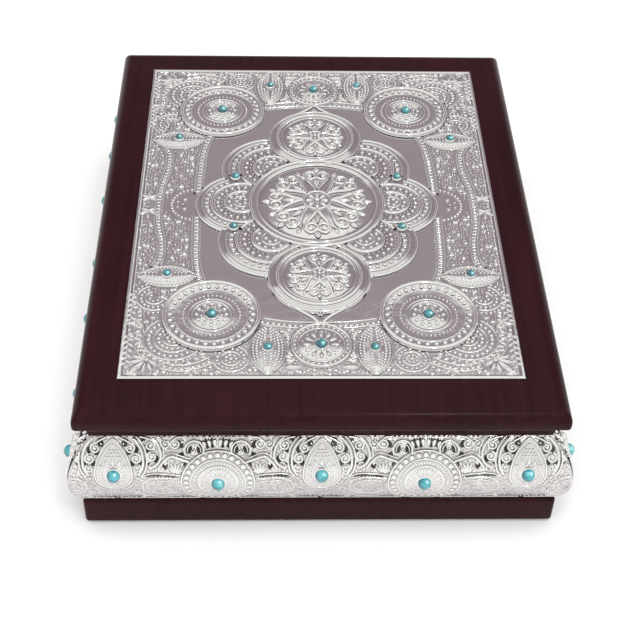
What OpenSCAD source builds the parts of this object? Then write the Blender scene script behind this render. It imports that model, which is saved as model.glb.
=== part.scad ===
// Keepsake box for a bound book: cushion-sided wooden case with pressed silver
// bands, turquoise cabochons and a hinged lid that carries a pressed silver plate.
// Millimetres, +Z up, front at -Y, origin under the middle of the rest face.

/* [Case] */
// Width of base and lid, left to right
case_w = 215; // [206:1:235]
// Depth of base and lid, front to back
case_d = 280; // [268:1:300]
// Thickness of the base board
base_t = 15.5; // [13:0.5:17]
// Rounding of the base board's upper edges
base_top_r = 2; // [1.5:0.25:2.5]
// Rounding of the base board's lower edges
base_foot_r = 1.5; // [1:0.25:3]
// Thickness of the felt under the base board
felt_t = 1; // [0.6:0.1:2]
// Distance of the felt's edge from the base board's edge
felt_inset = 8; // [5:1:15]

/* [Walls] */
// Height of the walls between base board and lid
wall_h = 37.5; // [36:0.5:39]
// Thickness of a wall at its top edge
wall_t = 9; // [8:0.5:10]
// Radius of the cushion-shaped outer face
bulge_r = 26; // [25:0.5:30]
// How far the cushion stands out past the lid's edge
bulge_out = 4.2; // [3.4:0.2:4.4]
// Height of the cushion's widest line above the base board
bulge_rise = 16.5; // [16:0.5:17.5]

/* [Bands] */
// Thickness of the silver band's sheet
band_t = 0.6; // [0.4:0.1:0.9]
// Glue space between band and wall
glue_t = 0.05; // [0.02:0.01:0.1]
// Distance from one band motif to the next
motif_pitch = 45.6; // [44:0.2:46]
// Distance of a side band's end shell from the corner line
end_shell_inset = 14; // [13.5:0.5:16]
// Half width of the pointed drop motif
drop_r = 8.5; // [7.5:0.25:9.5]
// Radius of the round shell motif
shell_r = 16; // [13:0.5:16.5]
// Radius of the ring inside a shell motif
shell_inner_r = 10; // [9:0.5:11]
// Height of the drop stones above the base board
drop_rise = 22.6; // [21:0.2:23]
// Height of the shell stones above the base board
shell_rise = 18.2; // [17.4:0.2:19]
// How far a motif is raised from the band
motif_h = 0.5; // [0.3:0.1:0.8]
// How far a motif's rim is raised from the band
motif_rim_h = 0.9; // [0.9:0.1:1.3]
// Width of a motif's rim
motif_rim_w = 1; // [0.7:0.1:1.4]

/* [Lid] */
// Space between the closed lid and the walls
lid_gap = 0.3; // [0.2:0.05:0.6]
// Height of the rails under the lid board
rail_h = 9; // [8:0.1:10]
// Distance of the rails' upper edge from the lid board's edge
rail_inset = 4.4; // [3.8:0.1:5]
// How far the rails slope in towards the bottom
rail_slope = 1.6; // [1:0.1:2]
// Thickness of the lid board
lid_t = 10; // [9:0.5:12]
// Rounding of the lid board's upper edges
lid_top_r = 6; // [4:0.5:7]
// Rounding of the lid board's lower edges
lid_foot_r = 1.5; // [1:0.25:3]
// Angle at which the stop hinges end the opening
lid_open = 100; // [92:1:106]

/* [Plate] */
// Width of the silver plate
plate_w = 178; // [172:1:186]
// Depth of the silver plate
plate_d = 238; // [232:1:246]
// Thickness of the plate's ground
plate_t = 1; // [0.8:0.1:1.5]
// Height of the plain rim at the plate's edge
plate_rim_h = 0.7; // [0.4:0.1:1.2]
// Width of the plain rim at the plate's edge
plate_rim_w = 1.6; // [1:0.1:2.5]
// Radius of the middle medallion
medal_r = 34; // [31:0.5:35]
// Radius of the two smaller medallions
small_medal_r = 20.5; // [18:0.5:21]
// Radius of the slanting petals
petal_r = 26; // [24:0.5:27]
// Radius of the side petals
side_petal_r = 23; // [21:0.5:24]
// Radius of the corner roundels
roundel_r = 22.5; // [20:0.5:23]
// Distance of the roundel's middle from the plate's edges
roundel_inset = 39.5; // [38:0.5:41]
// Radius of the rings at the middle of the short edges
ring_r = 13.8; // [12.5:0.2:14]
// Distance of the short-edge stones from the plate's edge
ring_inset = 20.3; // [19:0.1:22]
// Distance of the slanting petals' middles from the plate's long axis
petal_x = 22.5; // [21:0.5:24]
// Distance of the slanting petals' middles from the plate's short axis
petal_y = 28; // [26:0.5:30]
// Distance of the side petals' middles from the plate's long axis
side_petal_x = 37.5; // [36:0.5:39]
// Distance of the petal stones from the plate's long axis
petal_stone_x = 41; // [39:0.5:42]
// Distance of the petal stones from the plate's short axis
petal_stone_y = 19.6; // [18:0.2:21]
// Distance of the boats' stones from the plate's long edges
boat_inset = 17.7; // [16:0.1:19]
// Distance of the boats' stones from the roundels' middles, front to back
boat_drop = 26.3; // [25:0.1:28]
// Distance of the leaves' stones from the plate's long axis
leaf_x = 23.8; // [22.5:0.1:25]
// Distance of the leaves' stones from the plate's short edges
leaf_inset = 17.5; // [16.5:0.1:18.5]
// Distance of the corner fans' middles from the plate's long edges
fan_inset_x = 23; // [21:0.5:25]
// Distance of the corner fans' middles from the plate's short edges
fan_inset_y = 24.5; // [23:0.5:26]
// Distance of the ladder frames' middle from the plate's long edges
ladder_inset = 30.2; // [29:0.1:31]
// Width of the ladder frames
ladder_w = 3.6; // [3:0.1:4]

/* [Relief] */
// Width of the bold ridges that edge a disc
ridge_w = 1.8; // [1.4:0.1:2]
// Height of the bold ridges above their ground
ridge_h = 0.9; // [0.6:0.1:1]
// Width of the fine ridges inside a disc
fine_w = 1; // [0.8:0.1:1.2]
// Height of the fine ridges above their ground
fine_h = 0.5; // [0.3:0.1:0.7]
// Width of a row of beads or studs
bead_row_w = 2.2; // [1.8:0.1:2.4]
// Height of a row of beads or studs above its ground
bead_row_h = 0.7; // [0.4:0.1:0.8]
// Rise of the middle medallion's dome
medal_dome = 1.2; // [0.6:0.1:1.3]
// Rise of the smaller medallions' domes
small_dome = 1; // [0.5:0.1:1.1]
// Number of stems in the middle medallion's plant
medal_folds = 8; // [6:1:8]
// Number of stems in the smaller medallions' plants
small_folds = 6; // [5:1:6]
// Height of the plants above their domes
plant_h = 0.9; // [0.6:0.1:1]

/* [Stones] */
// Radius of the band stones
band_stone_r = 3; // [2.5:0.1:3.4]
// Height of the band stones
band_stone_h = 2.8; // [2:0.1:3]
// Radius of the larger plate stones
large_stone_r = 2.5; // [2:0.1:2.9]
// Radius of the smaller plate stones
small_stone_r = 2.1; // [1.8:0.1:2.4]
// Height of the plate stones
plate_stone_h = 1.8; // [1.4:0.1:1.8]

/* [Lining] */
// Thickness of the wall linings
lining_t = 1.5; // [1:0.1:2]
// Thickness of the floor pad
floor_pad_t = 3; // [2:0.5:5]
// Thickness of the lid lining pad
lid_pad_t = 2.5; // [2:0.5:4]
// Space around the pads
pad_gap = 0.3; // [0.2:0.1:0.6]

/* [Hinges] */
// Length of a hinge
hinge_l = 32; // [28:1:40]
// Distance of each hinge's middle from the case's side
hinge_inset = 45.5; // [40:0.5:55]
// Distance from the hinge axis back to the rails' lower edge
hinge_off = 3.4; // [3.2:0.1:3.6]
// Outer radius of the knuckles
knuckle_r = 2.2; // [2:0.1:2.3]
// Radius of the hinge pin
pin_r = 1.1; // [0.9:0.05:1.2]
// Running space between pin and knuckle
pin_gap = 0.05; // [0.02:0.01:0.08]
// Thickness of a hinge leaf
leaf_t = 1.2; // [1:0.1:1.4]
// Space around the leaves and between knuckles
leaf_gap = 0.3; // [0.2:0.05:0.4]
// Length of the stop lips measured from the axis
lip_r = 4.2; // [3.9:0.1:4.4]
// Distance of the hinge screws from the hinge's middle
screw_x = 9.5; // [8:0.5:10.5]
// Shank radius of the hinge screws
screw_r = 1.1; // [0.9:0.1:1.3]
// Head radius of the hinge screws
screw_head_r = 2.3; // [2:0.1:2.5]
// Length of the hinge screws
screw_l = 9; // [7:0.5:9]

/* [Base screws] */
// Shank radius of the base screws
base_screw_r = 1.7; // [1.4:0.1:2]
// Head radius of the base screws
base_screw_head_r = 3.5; // [3:0.1:4]
// Length of the base screws
base_screw_l = 30; // [24:1:32]
// Distance of the front and back walls' base screws from the case's side
base_screw_inset = 47.5; // [35:0.5:60]
// Distance of the side walls' base screws from the case's front and back
side_screw_inset = 52; // [40:0.5:75]
// Space around the base screws
base_screw_gap = 0.1; // [0.05:0.05:0.3]

/* [Hidden] */
$fn = 64;
hw = case_w / 2;
hd = case_d / 2;
hinge_x = hw - hinge_inset;
base_screw_x = hw - base_screw_inset;
base_screw_y = hd - side_screw_inset;
z_wall = felt_t + base_t;
z_joint = z_wall + wall_h;
z_rail = z_joint + lid_gap;
z_board = z_rail + rail_h;
z_top = z_board + lid_t;
z_plate = z_top + plate_t;
z_bulge = z_wall + bulge_rise;
p_arc = bulge_out - bulge_r;
function bulge(z) = p_arc + sqrt(bulge_r * bulge_r - (z - z_bulge) * (z - z_bulge));
p_top = bulge(z_joint);
p_in = p_top - wall_t;
p_screw = p_in + 6.8;
in_w = 2 * (hw + p_in);
in_d = 2 * (hd + p_in);
a_drop = asin((drop_rise - bulge_rise) / bulge_r);
a_shell = asin((shell_rise - bulge_rise) / bulge_r);
drop_tip = wall_h - drop_rise - 1;
seat_r = band_stone_r + 0.7;
seat_h = 0.9;
hinge_y = hd - rail_inset - rail_slope + hinge_off;
hinge_z = z_joint + lid_gap / 2;
leaf_in_y = hd + p_in + 1.3;
screw_y = (leaf_in_y + hd + p_top) / 2;
knuckle_l = (hinge_l - 2 * leaf_gap) / 3;
lip_a = -35;
wood = [0.2, 0.09, 0.1];
silver = [0.78, 0.75, 0.77];
turquoise = [0.2, 0.64, 0.68];
velvet = [0.3, 0.04, 0.09];
brass = [0.72, 0.56, 0.27];
steel = [0.62, 0.6, 0.56];

// Helpers
// A side's own frame: X along the side, Y outwards from the case's edge line
module at_front() { rotate([0, 0, 180]) translate([0, hd, 0]) children(); }
module at_back() { translate([0, hd, 0]) children(); }
module at_left() { rotate([0, 0, 90]) translate([0, hw, 0]) children(); }
module at_right() { rotate([0, 0, -90]) translate([0, hw, 0]) children(); }

// A profile drawn outwards and upwards, run along the side
module run(len) { rotate([90, 0, 90]) linear_extrude(height = len, center = true) children(); }

// The mitred room that one side may fill
module mitre(half) {
    linear_extrude(height = 120)
        polygon([[-(half + 30), 30], [half + 30, 30], [half - 70, -70], [-(half - 70), -70]]);
}

// A shape drawn as seen from outside, pushed through the side
module through() { translate([0, 30, 0]) rotate([90, 0, 0]) linear_extrude(height = 60) children(); }

module arc_profile(r_low, r_high) {
    intersection() {
        difference() {
            translate([p_arc, z_bulge]) circle(r = r_high, $fn = 128);
            translate([p_arc, z_bulge]) circle(r = r_low, $fn = 128);
        }
        translate([p_arc, z_wall]) square([bulge_r + 20, wall_h]);
    }
}

module round_board(w, d, z0, t, r_low, r_high) {
    hull() {
        for (sx = [-1, 1], sy = [-1, 1]) {
            translate([sx * (w / 2 - r_low), sy * (d / 2 - r_low), z0 + r_low])
                sphere(r = r_low, $fn = 32);
            translate([sx * (w / 2 - r_high), sy * (d / 2 - r_high), z0 + t - r_high])
                intersection() {
                    sphere(r = r_high, $fn = 32);
                    translate([-r_high, -r_high, 0]) cube(2 * r_high);
                }
        }
    }
}

module ring(r, w) { difference() { circle(r = r); circle(r = r - w); } }
module four() { for (sx = [-1, 1], sy = [-1, 1]) scale([sx, sy]) children(); }
module spots(x, y) { for (sx = [-1, 1], sy = [-1, 1]) translate([sx * x, sy * y, 0]) children(); }

// A pointed oval, w wide and l long
module almond(w, l) {
    r = (w * w + l * l) / (4 * w);
    intersection() {
        translate([r - w / 2, 0]) circle(r = r);
        translate([w / 2 - r, 0]) circle(r = r);
    }
}

// A drop with a round foot and a pointed top
module drop(r, tip) {
    circle(r = r);
    k = (tip * tip + r * r) / (2 * r);
    intersection() {
        translate([k - r, 0]) circle(r = k, $fn = 128);
        translate([r - k, 0]) circle(r = k, $fn = 128);
        translate([-r, 0]) square([2 * r, tip + 1]);
    }
}

module cabochon(r, h) {
    s = (r * r + h * h) / (2 * h);
    intersection() {
        translate([0, 0, h - s]) sphere(r = s);
        cylinder(r = r + 1, h = h + 1);
    }
}

// Places a piece on the cushion, its Z pointing straight out of the surface
module on_arc(x, a) {
    translate([x, p_arc, z_bulge]) rotate([a - 90, 0, 0]) translate([0, 0, bulge_r]) children();
}

// Wood screw, head up at the origin, shank going down
module wood_screw(r, head_r, l) {
    difference() {
        union() {
            rotate_extrude() polygon([[0, 0], [head_r, 0], [head_r, -0.3], [r, -0.3 - (head_r - r)],
                [r, -l + r * 1.6], [0, -l]]);
        }
        translate([-head_r - 1, -0.3, -0.5]) cube([2 * head_r + 2, 0.6, 1]);
    }
}

// Room for a wood screw
module screw_room(r, head_r, l, gap) {
    rotate_extrude() polygon([[0, 1], [head_r + gap, 1], [head_r + gap, -0.3], [r + gap, -0.3 - (head_r - r)],
        [r + gap, -l - gap], [0, -l - gap]]);
}

module base_screw_spots() {
    for (s = [-1, 1]) {
        for (t = [-1, 1]) translate([s * base_screw_x, t * (hd + p_screw), 0]) children();
        for (t = [-1, 1]) translate([t * (hw + p_screw), s * base_screw_y, 0]) children();
    }
}

// Box
module base_felt() {
    color(velvet) translate([-hw + felt_inset, -hd + felt_inset, 0])
        cube([case_w - 2 * felt_inset, case_d - 2 * felt_inset, felt_t]);
}

module base_board() {
    color(wood) difference() {
        round_board(case_w, case_d, felt_t, base_t, base_foot_r, base_top_r);
        base_screw_spots() translate([0, 0, felt_t + 0.4]) rotate([180, 0, 0])
            screw_room(base_screw_r, base_screw_head_r, base_screw_l, base_screw_gap);
    }
}

module base_screws() {
    color(steel) base_screw_spots() translate([0, 0, felt_t + 0.4]) rotate([180, 0, 0])
        wood_screw(base_screw_r, base_screw_head_r, base_screw_l);
}

module wall_run(half) {
    intersection() {
        run(2 * half + 20) intersection() {
            translate([p_in, z_wall]) square([bulge_r + 20, wall_h]);
            translate([p_arc, z_bulge]) circle(r = bulge_r - band_t - glue_t, $fn = 128);
        }
        mitre(half);
    }
}

module base_screw_holes() {
    base_screw_spots() translate([0, 0, felt_t + 0.4]) rotate([180, 0, 0])
        cylinder(r = base_screw_r + base_screw_gap, h = 2 * (base_screw_l + 0.3), center = true);
}

// Room that one hinge's box leaf takes from the back wall and band
module box_leaf_room() {
    for (s = [-1, 1])
        translate([s * hinge_x - hinge_l / 2 - leaf_gap, leaf_in_y - leaf_gap, z_joint - leaf_t - 0.1])
            cube([hinge_l + 2 * leaf_gap, 60, leaf_t + 5]);
}

module lid_leaf_room() {
    for (s = [-1, 1])
        translate([s * hinge_x - hinge_l / 2 - leaf_gap, leaf_in_y - leaf_gap, z_rail - 5])
            cube([hinge_l + 2 * leaf_gap, 60, leaf_t + 5.1]);
}

module hinge_screw_spots() {
    for (s = [-1, 1], t = [-1, 1]) translate([s * hinge_x + t * screw_x, screw_y, 0]) children();
}

// Bores of the hinge screws, countersunk for the part of the head that passes the leaf
module hinge_screw_room() { screw_room(screw_r, screw_head_r, screw_l, base_screw_gap); }
module box_screw_rooms() { hinge_screw_spots() translate([0, 0, z_joint - 0.1]) hinge_screw_room(); }
module lid_screw_rooms() {
    hinge_screw_spots() translate([0, 0, z_rail + 0.1]) rotate([180, 0, 0]) hinge_screw_room();
}

module front_wall() { color(wood) difference() { at_front() wall_run(hw); base_screw_holes(); } }
module left_wall() { color(wood) difference() { at_left() wall_run(hd); base_screw_holes(); } }
module right_wall() { color(wood) difference() { at_right() wall_run(hd); base_screw_holes(); } }
module back_wall() {
    color(wood) difference() {
        at_back() wall_run(hw);
        base_screw_holes();
        box_leaf_room();
        box_screw_rooms();
    }
}

// Bands
// Each motif is its place along the band and whether it is a drop
front_motifs = [[-2 * motif_pitch, true], [-motif_pitch, false], [0, true], [motif_pitch, false],
    [2 * motif_pitch, true]];
side_motifs = [[-hd + end_shell_inset, false], [-2 * motif_pitch, false], [-motif_pitch, true], [0, false],
    [motif_pitch, true], [2 * motif_pitch, false], [hd - end_shell_inset, false]];

module motif_body(is_drop) {
    if (is_drop) translate([0, z_wall + drop_rise]) drop(drop_r - motif_rim_w / 2, drop_tip - motif_rim_w);
    else translate([0, z_wall + shell_rise]) circle(r = shell_r - motif_rim_w / 2);
}

module motif_rims(is_drop) {
    if (is_drop) translate([0, z_wall + drop_rise]) difference() {
        drop(drop_r, drop_tip);
        drop(drop_r - motif_rim_w, drop_tip - 2 * motif_rim_w);
    }
    else translate([0, z_wall + shell_rise]) {
        ring(shell_r, motif_rim_w);
        ring(shell_inner_r, motif_rim_w);
    }
}

// One motif with its stretch of sheet, from low to high along the band
module band_piece(x, is_drop, low, high) {
    middle = (low + high) / 2;
    translate([middle, 0, 0]) run(high - low) arc_profile(bulge_r - band_t, bulge_r);
    intersection() {
        translate([middle, 0, 0]) run(high - low) arc_profile(bulge_r - band_t / 2, bulge_r + motif_h);
        translate([x, 0, 0]) through() motif_body(is_drop);
    }
    intersection() {
        translate([middle, 0, 0]) run(high - low) arc_profile(bulge_r - band_t / 4, bulge_r + motif_rim_h);
        translate([x, 0, 0]) through() motif_rims(is_drop);
    }
    on_arc(x, is_drop ? a_drop : a_shell) translate([0, 0, -band_t / 2])
        cylinder(r = seat_r, h = seat_h + band_t / 2);
}

module band_run(half, motifs) {
    last = len(motifs) - 1;
    intersection() {
        band_piece(motifs[0][0], motifs[0][1], -half - 10, (motifs[0][0] + motifs[1][0]) / 2);
        mitre(half);
    }
    for (i = [1 : last - 1])
        band_piece(motifs[i][0], motifs[i][1], (motifs[i - 1][0] + motifs[i][0]) / 2,
            (motifs[i][0] + motifs[i + 1][0]) / 2);
    intersection() {
        band_piece(motifs[last][0], motifs[last][1], (motifs[last - 1][0] + motifs[last][0]) / 2, half + 10);
        mitre(half);
    }
}

module stone_run(motifs) {
    for (m = motifs) on_arc(m[0], m[1] ? a_drop : a_shell) translate([0, 0, seat_h])
        cabochon(band_stone_r, band_stone_h);
}

module front_band() { color(silver) at_front() band_run(hw, front_motifs); }
module left_band() { color(silver) at_left() band_run(hd, side_motifs); }
module right_band() { color(silver) at_right() band_run(hd, side_motifs); }
module back_band() {
    color(silver) difference() {
        at_back() band_run(hw, front_motifs);
        box_leaf_room();
    }
}
module front_band_stones() { color(turquoise) at_front() stone_run(front_motifs); }
module back_band_stones() { color(turquoise) at_back() stone_run(front_motifs); }
module left_band_stones() { color(turquoise) at_left() stone_run(side_motifs); }
module right_band_stones() { color(turquoise) at_right() stone_run(side_motifs); }

// Lining
module floor_pad() {
    w = in_w - 2 * (lining_t + pad_gap);
    d = in_d - 2 * (lining_t + pad_gap);
    color(velvet) translate([-w / 2, -d / 2, z_wall]) cube([w, d, floor_pad_t]);
}

lining_h = wall_h - 0.6;
module long_lining() {
    color(velvet) translate([-in_w / 2, 0, z_wall]) cube([in_w, lining_t, lining_h]);
}
module short_lining() {
    d = in_d - 2 * lining_t;
    color(velvet) translate([0, -d / 2, z_wall]) cube([lining_t, d, lining_h]);
}
module front_lining() { translate([0, -in_d / 2, 0]) long_lining(); }
module back_lining() { translate([0, in_d / 2 - lining_t, 0]) long_lining(); }
module left_lining() { translate([-in_w / 2, 0, 0]) short_lining(); }
module right_lining() { translate([in_w / 2 - lining_t, 0, 0]) short_lining(); }

// Hinges
// Axial stretch of a hinge: 0 and 2 are the box leaf's, 1 is the lid leaf's
function stretch(i) = -hinge_l / 2 + i * (knuckle_l + leaf_gap);

module knuckle(i, r) {
    translate([stretch(i), hinge_y, hinge_z]) rotate([0, 90, 0]) cylinder(r = r, h = knuckle_l);
}

module knuckle_room(i) {
    translate([stretch(i) - leaf_gap, hinge_y, hinge_z]) rotate([0, 90, 0])
        cylinder(r = knuckle_r + leaf_gap, h = knuckle_l + 2 * leaf_gap);
}

module pin_bore() {
    translate([-hinge_l, hinge_y, hinge_z]) rotate([0, 90, 0]) cylinder(r = pin_r + pin_gap, h = 2 * hinge_l);
}

// Stop lip: a strip standing off the axis at an angle above the outward direction
module lip(a, side, r0, x0, l) {
    translate([x0, hinge_y, hinge_z]) rotate([a, 0, 0]) translate([0, r0, side > 0 ? 0 : -1])
        cube([l, lip_r - r0, 1]);
}

module box_leaf() {
    color(brass) difference() {
        union() {
            difference() {
                union() {
                    translate([-hinge_l / 2, leaf_in_y, z_joint - leaf_t])
                        cube([hinge_l, hinge_y - leaf_in_y - pin_r, leaf_t]);
                    lip(lip_a, -1, pin_r + 0.3, -hinge_l / 2, hinge_l);
                }
                knuckle_room(1);
            }
            knuckle(0, knuckle_r);
            knuckle(2, knuckle_r);
        }
        pin_bore();
        for (t = [-1, 1]) translate([t * screw_x, screw_y, z_joint - 0.1]) hinge_screw_room();
    }
}

module lid_leaf() {
    color(brass) difference() {
        union() {
            difference() {
                union() {
                    translate([-hinge_l / 2, leaf_in_y, z_rail])
                        cube([hinge_l, hinge_y - leaf_in_y - pin_r, leaf_t]);
                    lip(lip_a + lid_open + 0.6, 1, pin_r + 0.3, -hinge_l / 2, hinge_l);
                }
                knuckle_room(0);
                knuckle_room(2);
            }
            knuckle(1, knuckle_r);
        }
        pin_bore();
        for (t = [-1, 1]) translate([t * screw_x, screw_y, z_rail + 0.1])
            rotate([180, 0, 0]) hinge_screw_room();
    }
}

module hinge_pin() {
    color(brass) translate([0, hinge_y, hinge_z]) rotate([0, 90, 0]) {
        cylinder(r = pin_r, h = hinge_l + 0.4, center = true);
        for (s = [-1, 1]) translate([0, 0, s * (hinge_l / 2 + 0.6)])
            cylinder(r = pin_r + 0.5, h = 0.8, center = true);
    }
}

module left_hinge_box_leaf() { translate([-hinge_x, 0, 0]) box_leaf(); }
module right_hinge_box_leaf() { translate([hinge_x, 0, 0]) box_leaf(); }
module left_hinge_lid_leaf() { translate([-hinge_x, 0, 0]) lid_leaf(); }
module right_hinge_lid_leaf() { translate([hinge_x, 0, 0]) lid_leaf(); }
module left_hinge_pin() { translate([-hinge_x, 0, 0]) hinge_pin(); }
module right_hinge_pin() { translate([hinge_x, 0, 0]) hinge_pin(); }
module box_hinge_screws() {
    color(brass) hinge_screw_spots() translate([0, 0, z_joint - 0.1])
        wood_screw(screw_r, screw_head_r, screw_l);
}
module lid_hinge_screws() {
    color(brass) hinge_screw_spots() translate([0, 0, z_rail + 0.1]) rotate([180, 0, 0])
        wood_screw(screw_r, screw_head_r, screw_l);
}

// Lid
module lid_board() {
    color(wood) difference() {
        round_board(case_w, case_d, z_board, lid_t, lid_foot_r, lid_top_r);
        lid_screw_rooms();
    }
}

module rail_run(half) {
    intersection() {
        run(2 * half + 20) polygon([[p_in, z_rail], [-rail_inset - rail_slope, z_rail],
            [-rail_inset, z_board], [p_in, z_board]]);
        mitre(half);
    }
}

module front_rail() { color(wood) at_front() rail_run(hw); }
module left_rail() { color(wood) at_left() rail_run(hd); }
module right_rail() { color(wood) at_right() rail_run(hd); }
module back_rail() {
    color(wood) difference() {
        at_back() rail_run(hw);
        lid_leaf_room();
        lid_screw_rooms();
    }
}

module lid_pad() {
    w = in_w - 2 * pad_gap;
    d = in_d - 2 * pad_gap;
    color(velvet) translate([-w / 2, -d / 2, z_board - lid_pad_t]) cube([w, d, lid_pad_t]);
}

// Plate
roundel_x = plate_w / 2 - roundel_inset;
roundel_y = plate_d / 2 - roundel_inset;
small_y = medal_r + small_medal_r - 0.5;
boat_x = plate_w / 2 - boat_inset;
boat_y = roundel_y - boat_drop;
leaf_y = plate_d / 2 - leaf_inset;
ring_y = plate_d / 2 - ring_inset;
fan_x = plate_w / 2 - fan_inset_x;
fan_y = plate_d / 2 - fan_inset_y;
ladder_x = plate_w / 2 - ladder_inset;
ladder_y = roundel_y + 5.6;
fan_r = 14;
boat_w = 15;
boat_l = 28;
leaf_w = 16.5;
leaf_l = 31;
collar_w = 3.8;
tip_w = 16;
tip_l = 20;
boss_r = 8.5;
// Heights above the plate's ground
low_h = 0.7;
oval_foot_h = 0.8;
oval_h = 1.5;
ring_h = 0.6;
roundel_h = 0.3;
roundel_slope_h = 0.7;
boss_h = 0.75;
collar_h = 1.1;
small_medal_h = 1.7;
medal_h = 2;
flat_seat_h = 1.3;
leaf_seat_h = 2.2;
petal_seat_h = 2.8;
plate_seat_w = 0.6;
// Rings of a disc: distance inside its edge, width and height
roundel_rings = [[0, ridge_w, roundel_slope_h + ridge_h], [2.1, bead_row_w, roundel_slope_h + bead_row_h],
    [5.1, fine_w, roundel_h + fine_h], [11.6, fine_w, roundel_h + fine_h],
    [13.2, fine_w, roundel_h + fine_h], [14.7, bead_row_w, boss_h + bead_row_h]];
edge_rings = [[0, ridge_w, ring_h + ridge_h], [ridge_w, fine_w, ring_h + fine_h],
    [ridge_w + fine_w, fine_w, ring_h + ridge_h], [5.4, 4.4, ring_h + fine_h]];
small_rings = [[0, ridge_w, small_medal_h + ridge_h], [ridge_w + 0.6, fine_w, small_medal_h + fine_h]];
medal_rings = [[0, ridge_w, medal_h + ridge_h], [ridge_w + 1.6, fine_w, medal_h + ridge_h]];
fan_rings = [[0, fine_w, low_h], [1.8, bead_row_w, low_h], [4.9, fine_w, low_h], [6.4, bead_row_w, low_h],
    [9, fine_w, low_h], [10.4, fan_r - 10.4, low_h]];
// Steps of the petals: share of the radius and height
petal_steps = [[1, 0.55], [0.84, 1], [0.64, 1.5], [0.34, 2]];
// Rows of the petals: outer and inner share of the radius and height
petal_rows = [[0.998, 0.933, 1.4], [0.867, 0.825, 1.45], [0.788, 0.712, 1.6], [0.686, 0.621, 2],
    [0.545, 0.47, 2.1], [0.385, 0.323, 2.5]];

module raised(h) {
    translate([0, 0, z_top + plate_t / 2]) linear_extrude(height = plate_t / 2 + h) children();
}

module disc_rings(r, rows) { for (row = rows) raised(row[2]) ring(r - row[0], row[1]); }
module dome(r, h0, h) { translate([0, 0, z_plate + h0]) cabochon(r, h); }

module petals(share) {
    four() translate([petal_x, petal_y]) circle(r = petal_r * share);
    for (s = [-1, 1]) translate([s * side_petal_x, 0]) circle(r = side_petal_r * share);
}

module free_of_medallions() {
    difference() {
        children();
        circle(r = medal_r);
        for (s = [-1, 1]) translate([0, s * small_y]) circle(r = small_medal_r + collar_w);
    }
}

module small_collar() {
    circle(r = small_medal_r + collar_w);
    translate([0, small_medal_r - 2]) almond(tip_w, tip_l);
}

// The main leaves and curls of a medallion's plant, r the radius of its field
module plant(r, folds, h0, h) {
    for (k = [0 : folds - 1]) rotate([0, 0, 90 + k * 360 / folds]) {
        raised(h0 + 0.8 * h + plant_h) translate([0.48 * r, 0]) rotate(90) almond(0.1 * r, 0.24 * r);
        raised(h0 + 0.2 * h + plant_h) translate([0.88 * r, 0]) rotate(90) almond(0.12 * r, 0.16 * r);
        raised(h0 + 0.5 * h + plant_h) for (s = [-1, 1])
            rotate(s * 76 / folds) translate([0.7 * r, 0]) ring(0.15 * r, 0.06 * r);
    }
}

module seat(r, h) { raised(h) circle(r = r + plate_seat_w); }

module plate_border() {
    raised(plate_rim_h) difference() {
        square([plate_w, plate_d], center = true);
        square([plate_w - 2 * plate_rim_w, plate_d - 2 * plate_rim_w], center = true);
    }
    raised(low_h) for (s = [-1, 1]) {
        translate([s * ladder_x, 0]) square([ladder_w, 2 * (roundel_y - roundel_r + 6)], center = true);
        translate([0, s * ladder_y]) square([2 * (roundel_x - roundel_r + 8), ladder_w], center = true);
    }
    spots(fan_x, fan_y) disc_rings(fan_r, fan_rings);
    raised(oval_foot_h) four() translate([boat_x, boat_y]) rotate(90) almond(boat_w, boat_l);
    raised(oval_h) four() translate([boat_x, boat_y]) rotate(90) almond(0.7 * boat_w, 0.8 * boat_l);
    raised(oval_foot_h) four() translate([leaf_x, leaf_y]) almond(leaf_w, leaf_l);
    raised(oval_h) four() translate([leaf_x, leaf_y]) almond(0.7 * leaf_w, 0.8 * leaf_l);
    for (s = [-1, 1]) translate([0, s * ring_y, 0]) {
        raised(ring_h) circle(r = ring_r);
        disc_rings(ring_r, edge_rings);
    }
}

module plate_flower() {
    for (step = petal_steps) raised(step[1]) free_of_medallions() petals(step[0]);
    for (row = petal_rows) raised(row[2]) free_of_medallions() difference() {
        petals(row[0]);
        petals(row[1]);
    }
}

module plate_medallions() {
    for (s = [0, 180]) rotate([0, 0, s]) {
        raised(collar_h) translate([0, small_y]) small_collar();
        translate([0, small_y, 0]) {
            raised(collar_h + fine_h) ring(small_medal_r + collar_w, fine_w);
            raised(small_medal_h) circle(r = small_medal_r);
            disc_rings(small_medal_r, small_rings);
            dome(small_medal_r - 3.6, small_medal_h, small_dome);
            plant(small_medal_r - 3.6, small_folds, small_medal_h, small_dome);
        }
    }
    raised(medal_h) circle(r = medal_r);
    disc_rings(medal_r, medal_rings);
    dome(medal_r - 4.8, medal_h, medal_dome);
    plant(medal_r - 4.8, medal_folds, medal_h, medal_dome);
}

module plate_roundels() {
    spots(roundel_x, roundel_y) {
        raised(roundel_h) circle(r = roundel_r);
        raised(boss_h) circle(r = boss_r);
        disc_rings(roundel_r, roundel_rings);
    }
}

module stone_seats() {
    spots(petal_stone_x, petal_stone_y) seat(small_stone_r, petal_seat_h);
    spots(boat_x, boat_y) seat(small_stone_r, leaf_seat_h);
    spots(leaf_x, leaf_y) seat(small_stone_r, leaf_seat_h);
    spots(roundel_x, roundel_y) seat(large_stone_r, flat_seat_h);
    for (s = [-1, 1]) translate([0, s * ring_y, 0]) seat(large_stone_r, flat_seat_h);
}

module lid_plate() {
    color(silver) union() {
        translate([-plate_w / 2, -plate_d / 2, z_top]) cube([plate_w, plate_d, plate_t]);
        plate_border();
        plate_flower();
        plate_medallions();
        plate_roundels();
        stone_seats();
    }
}

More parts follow.
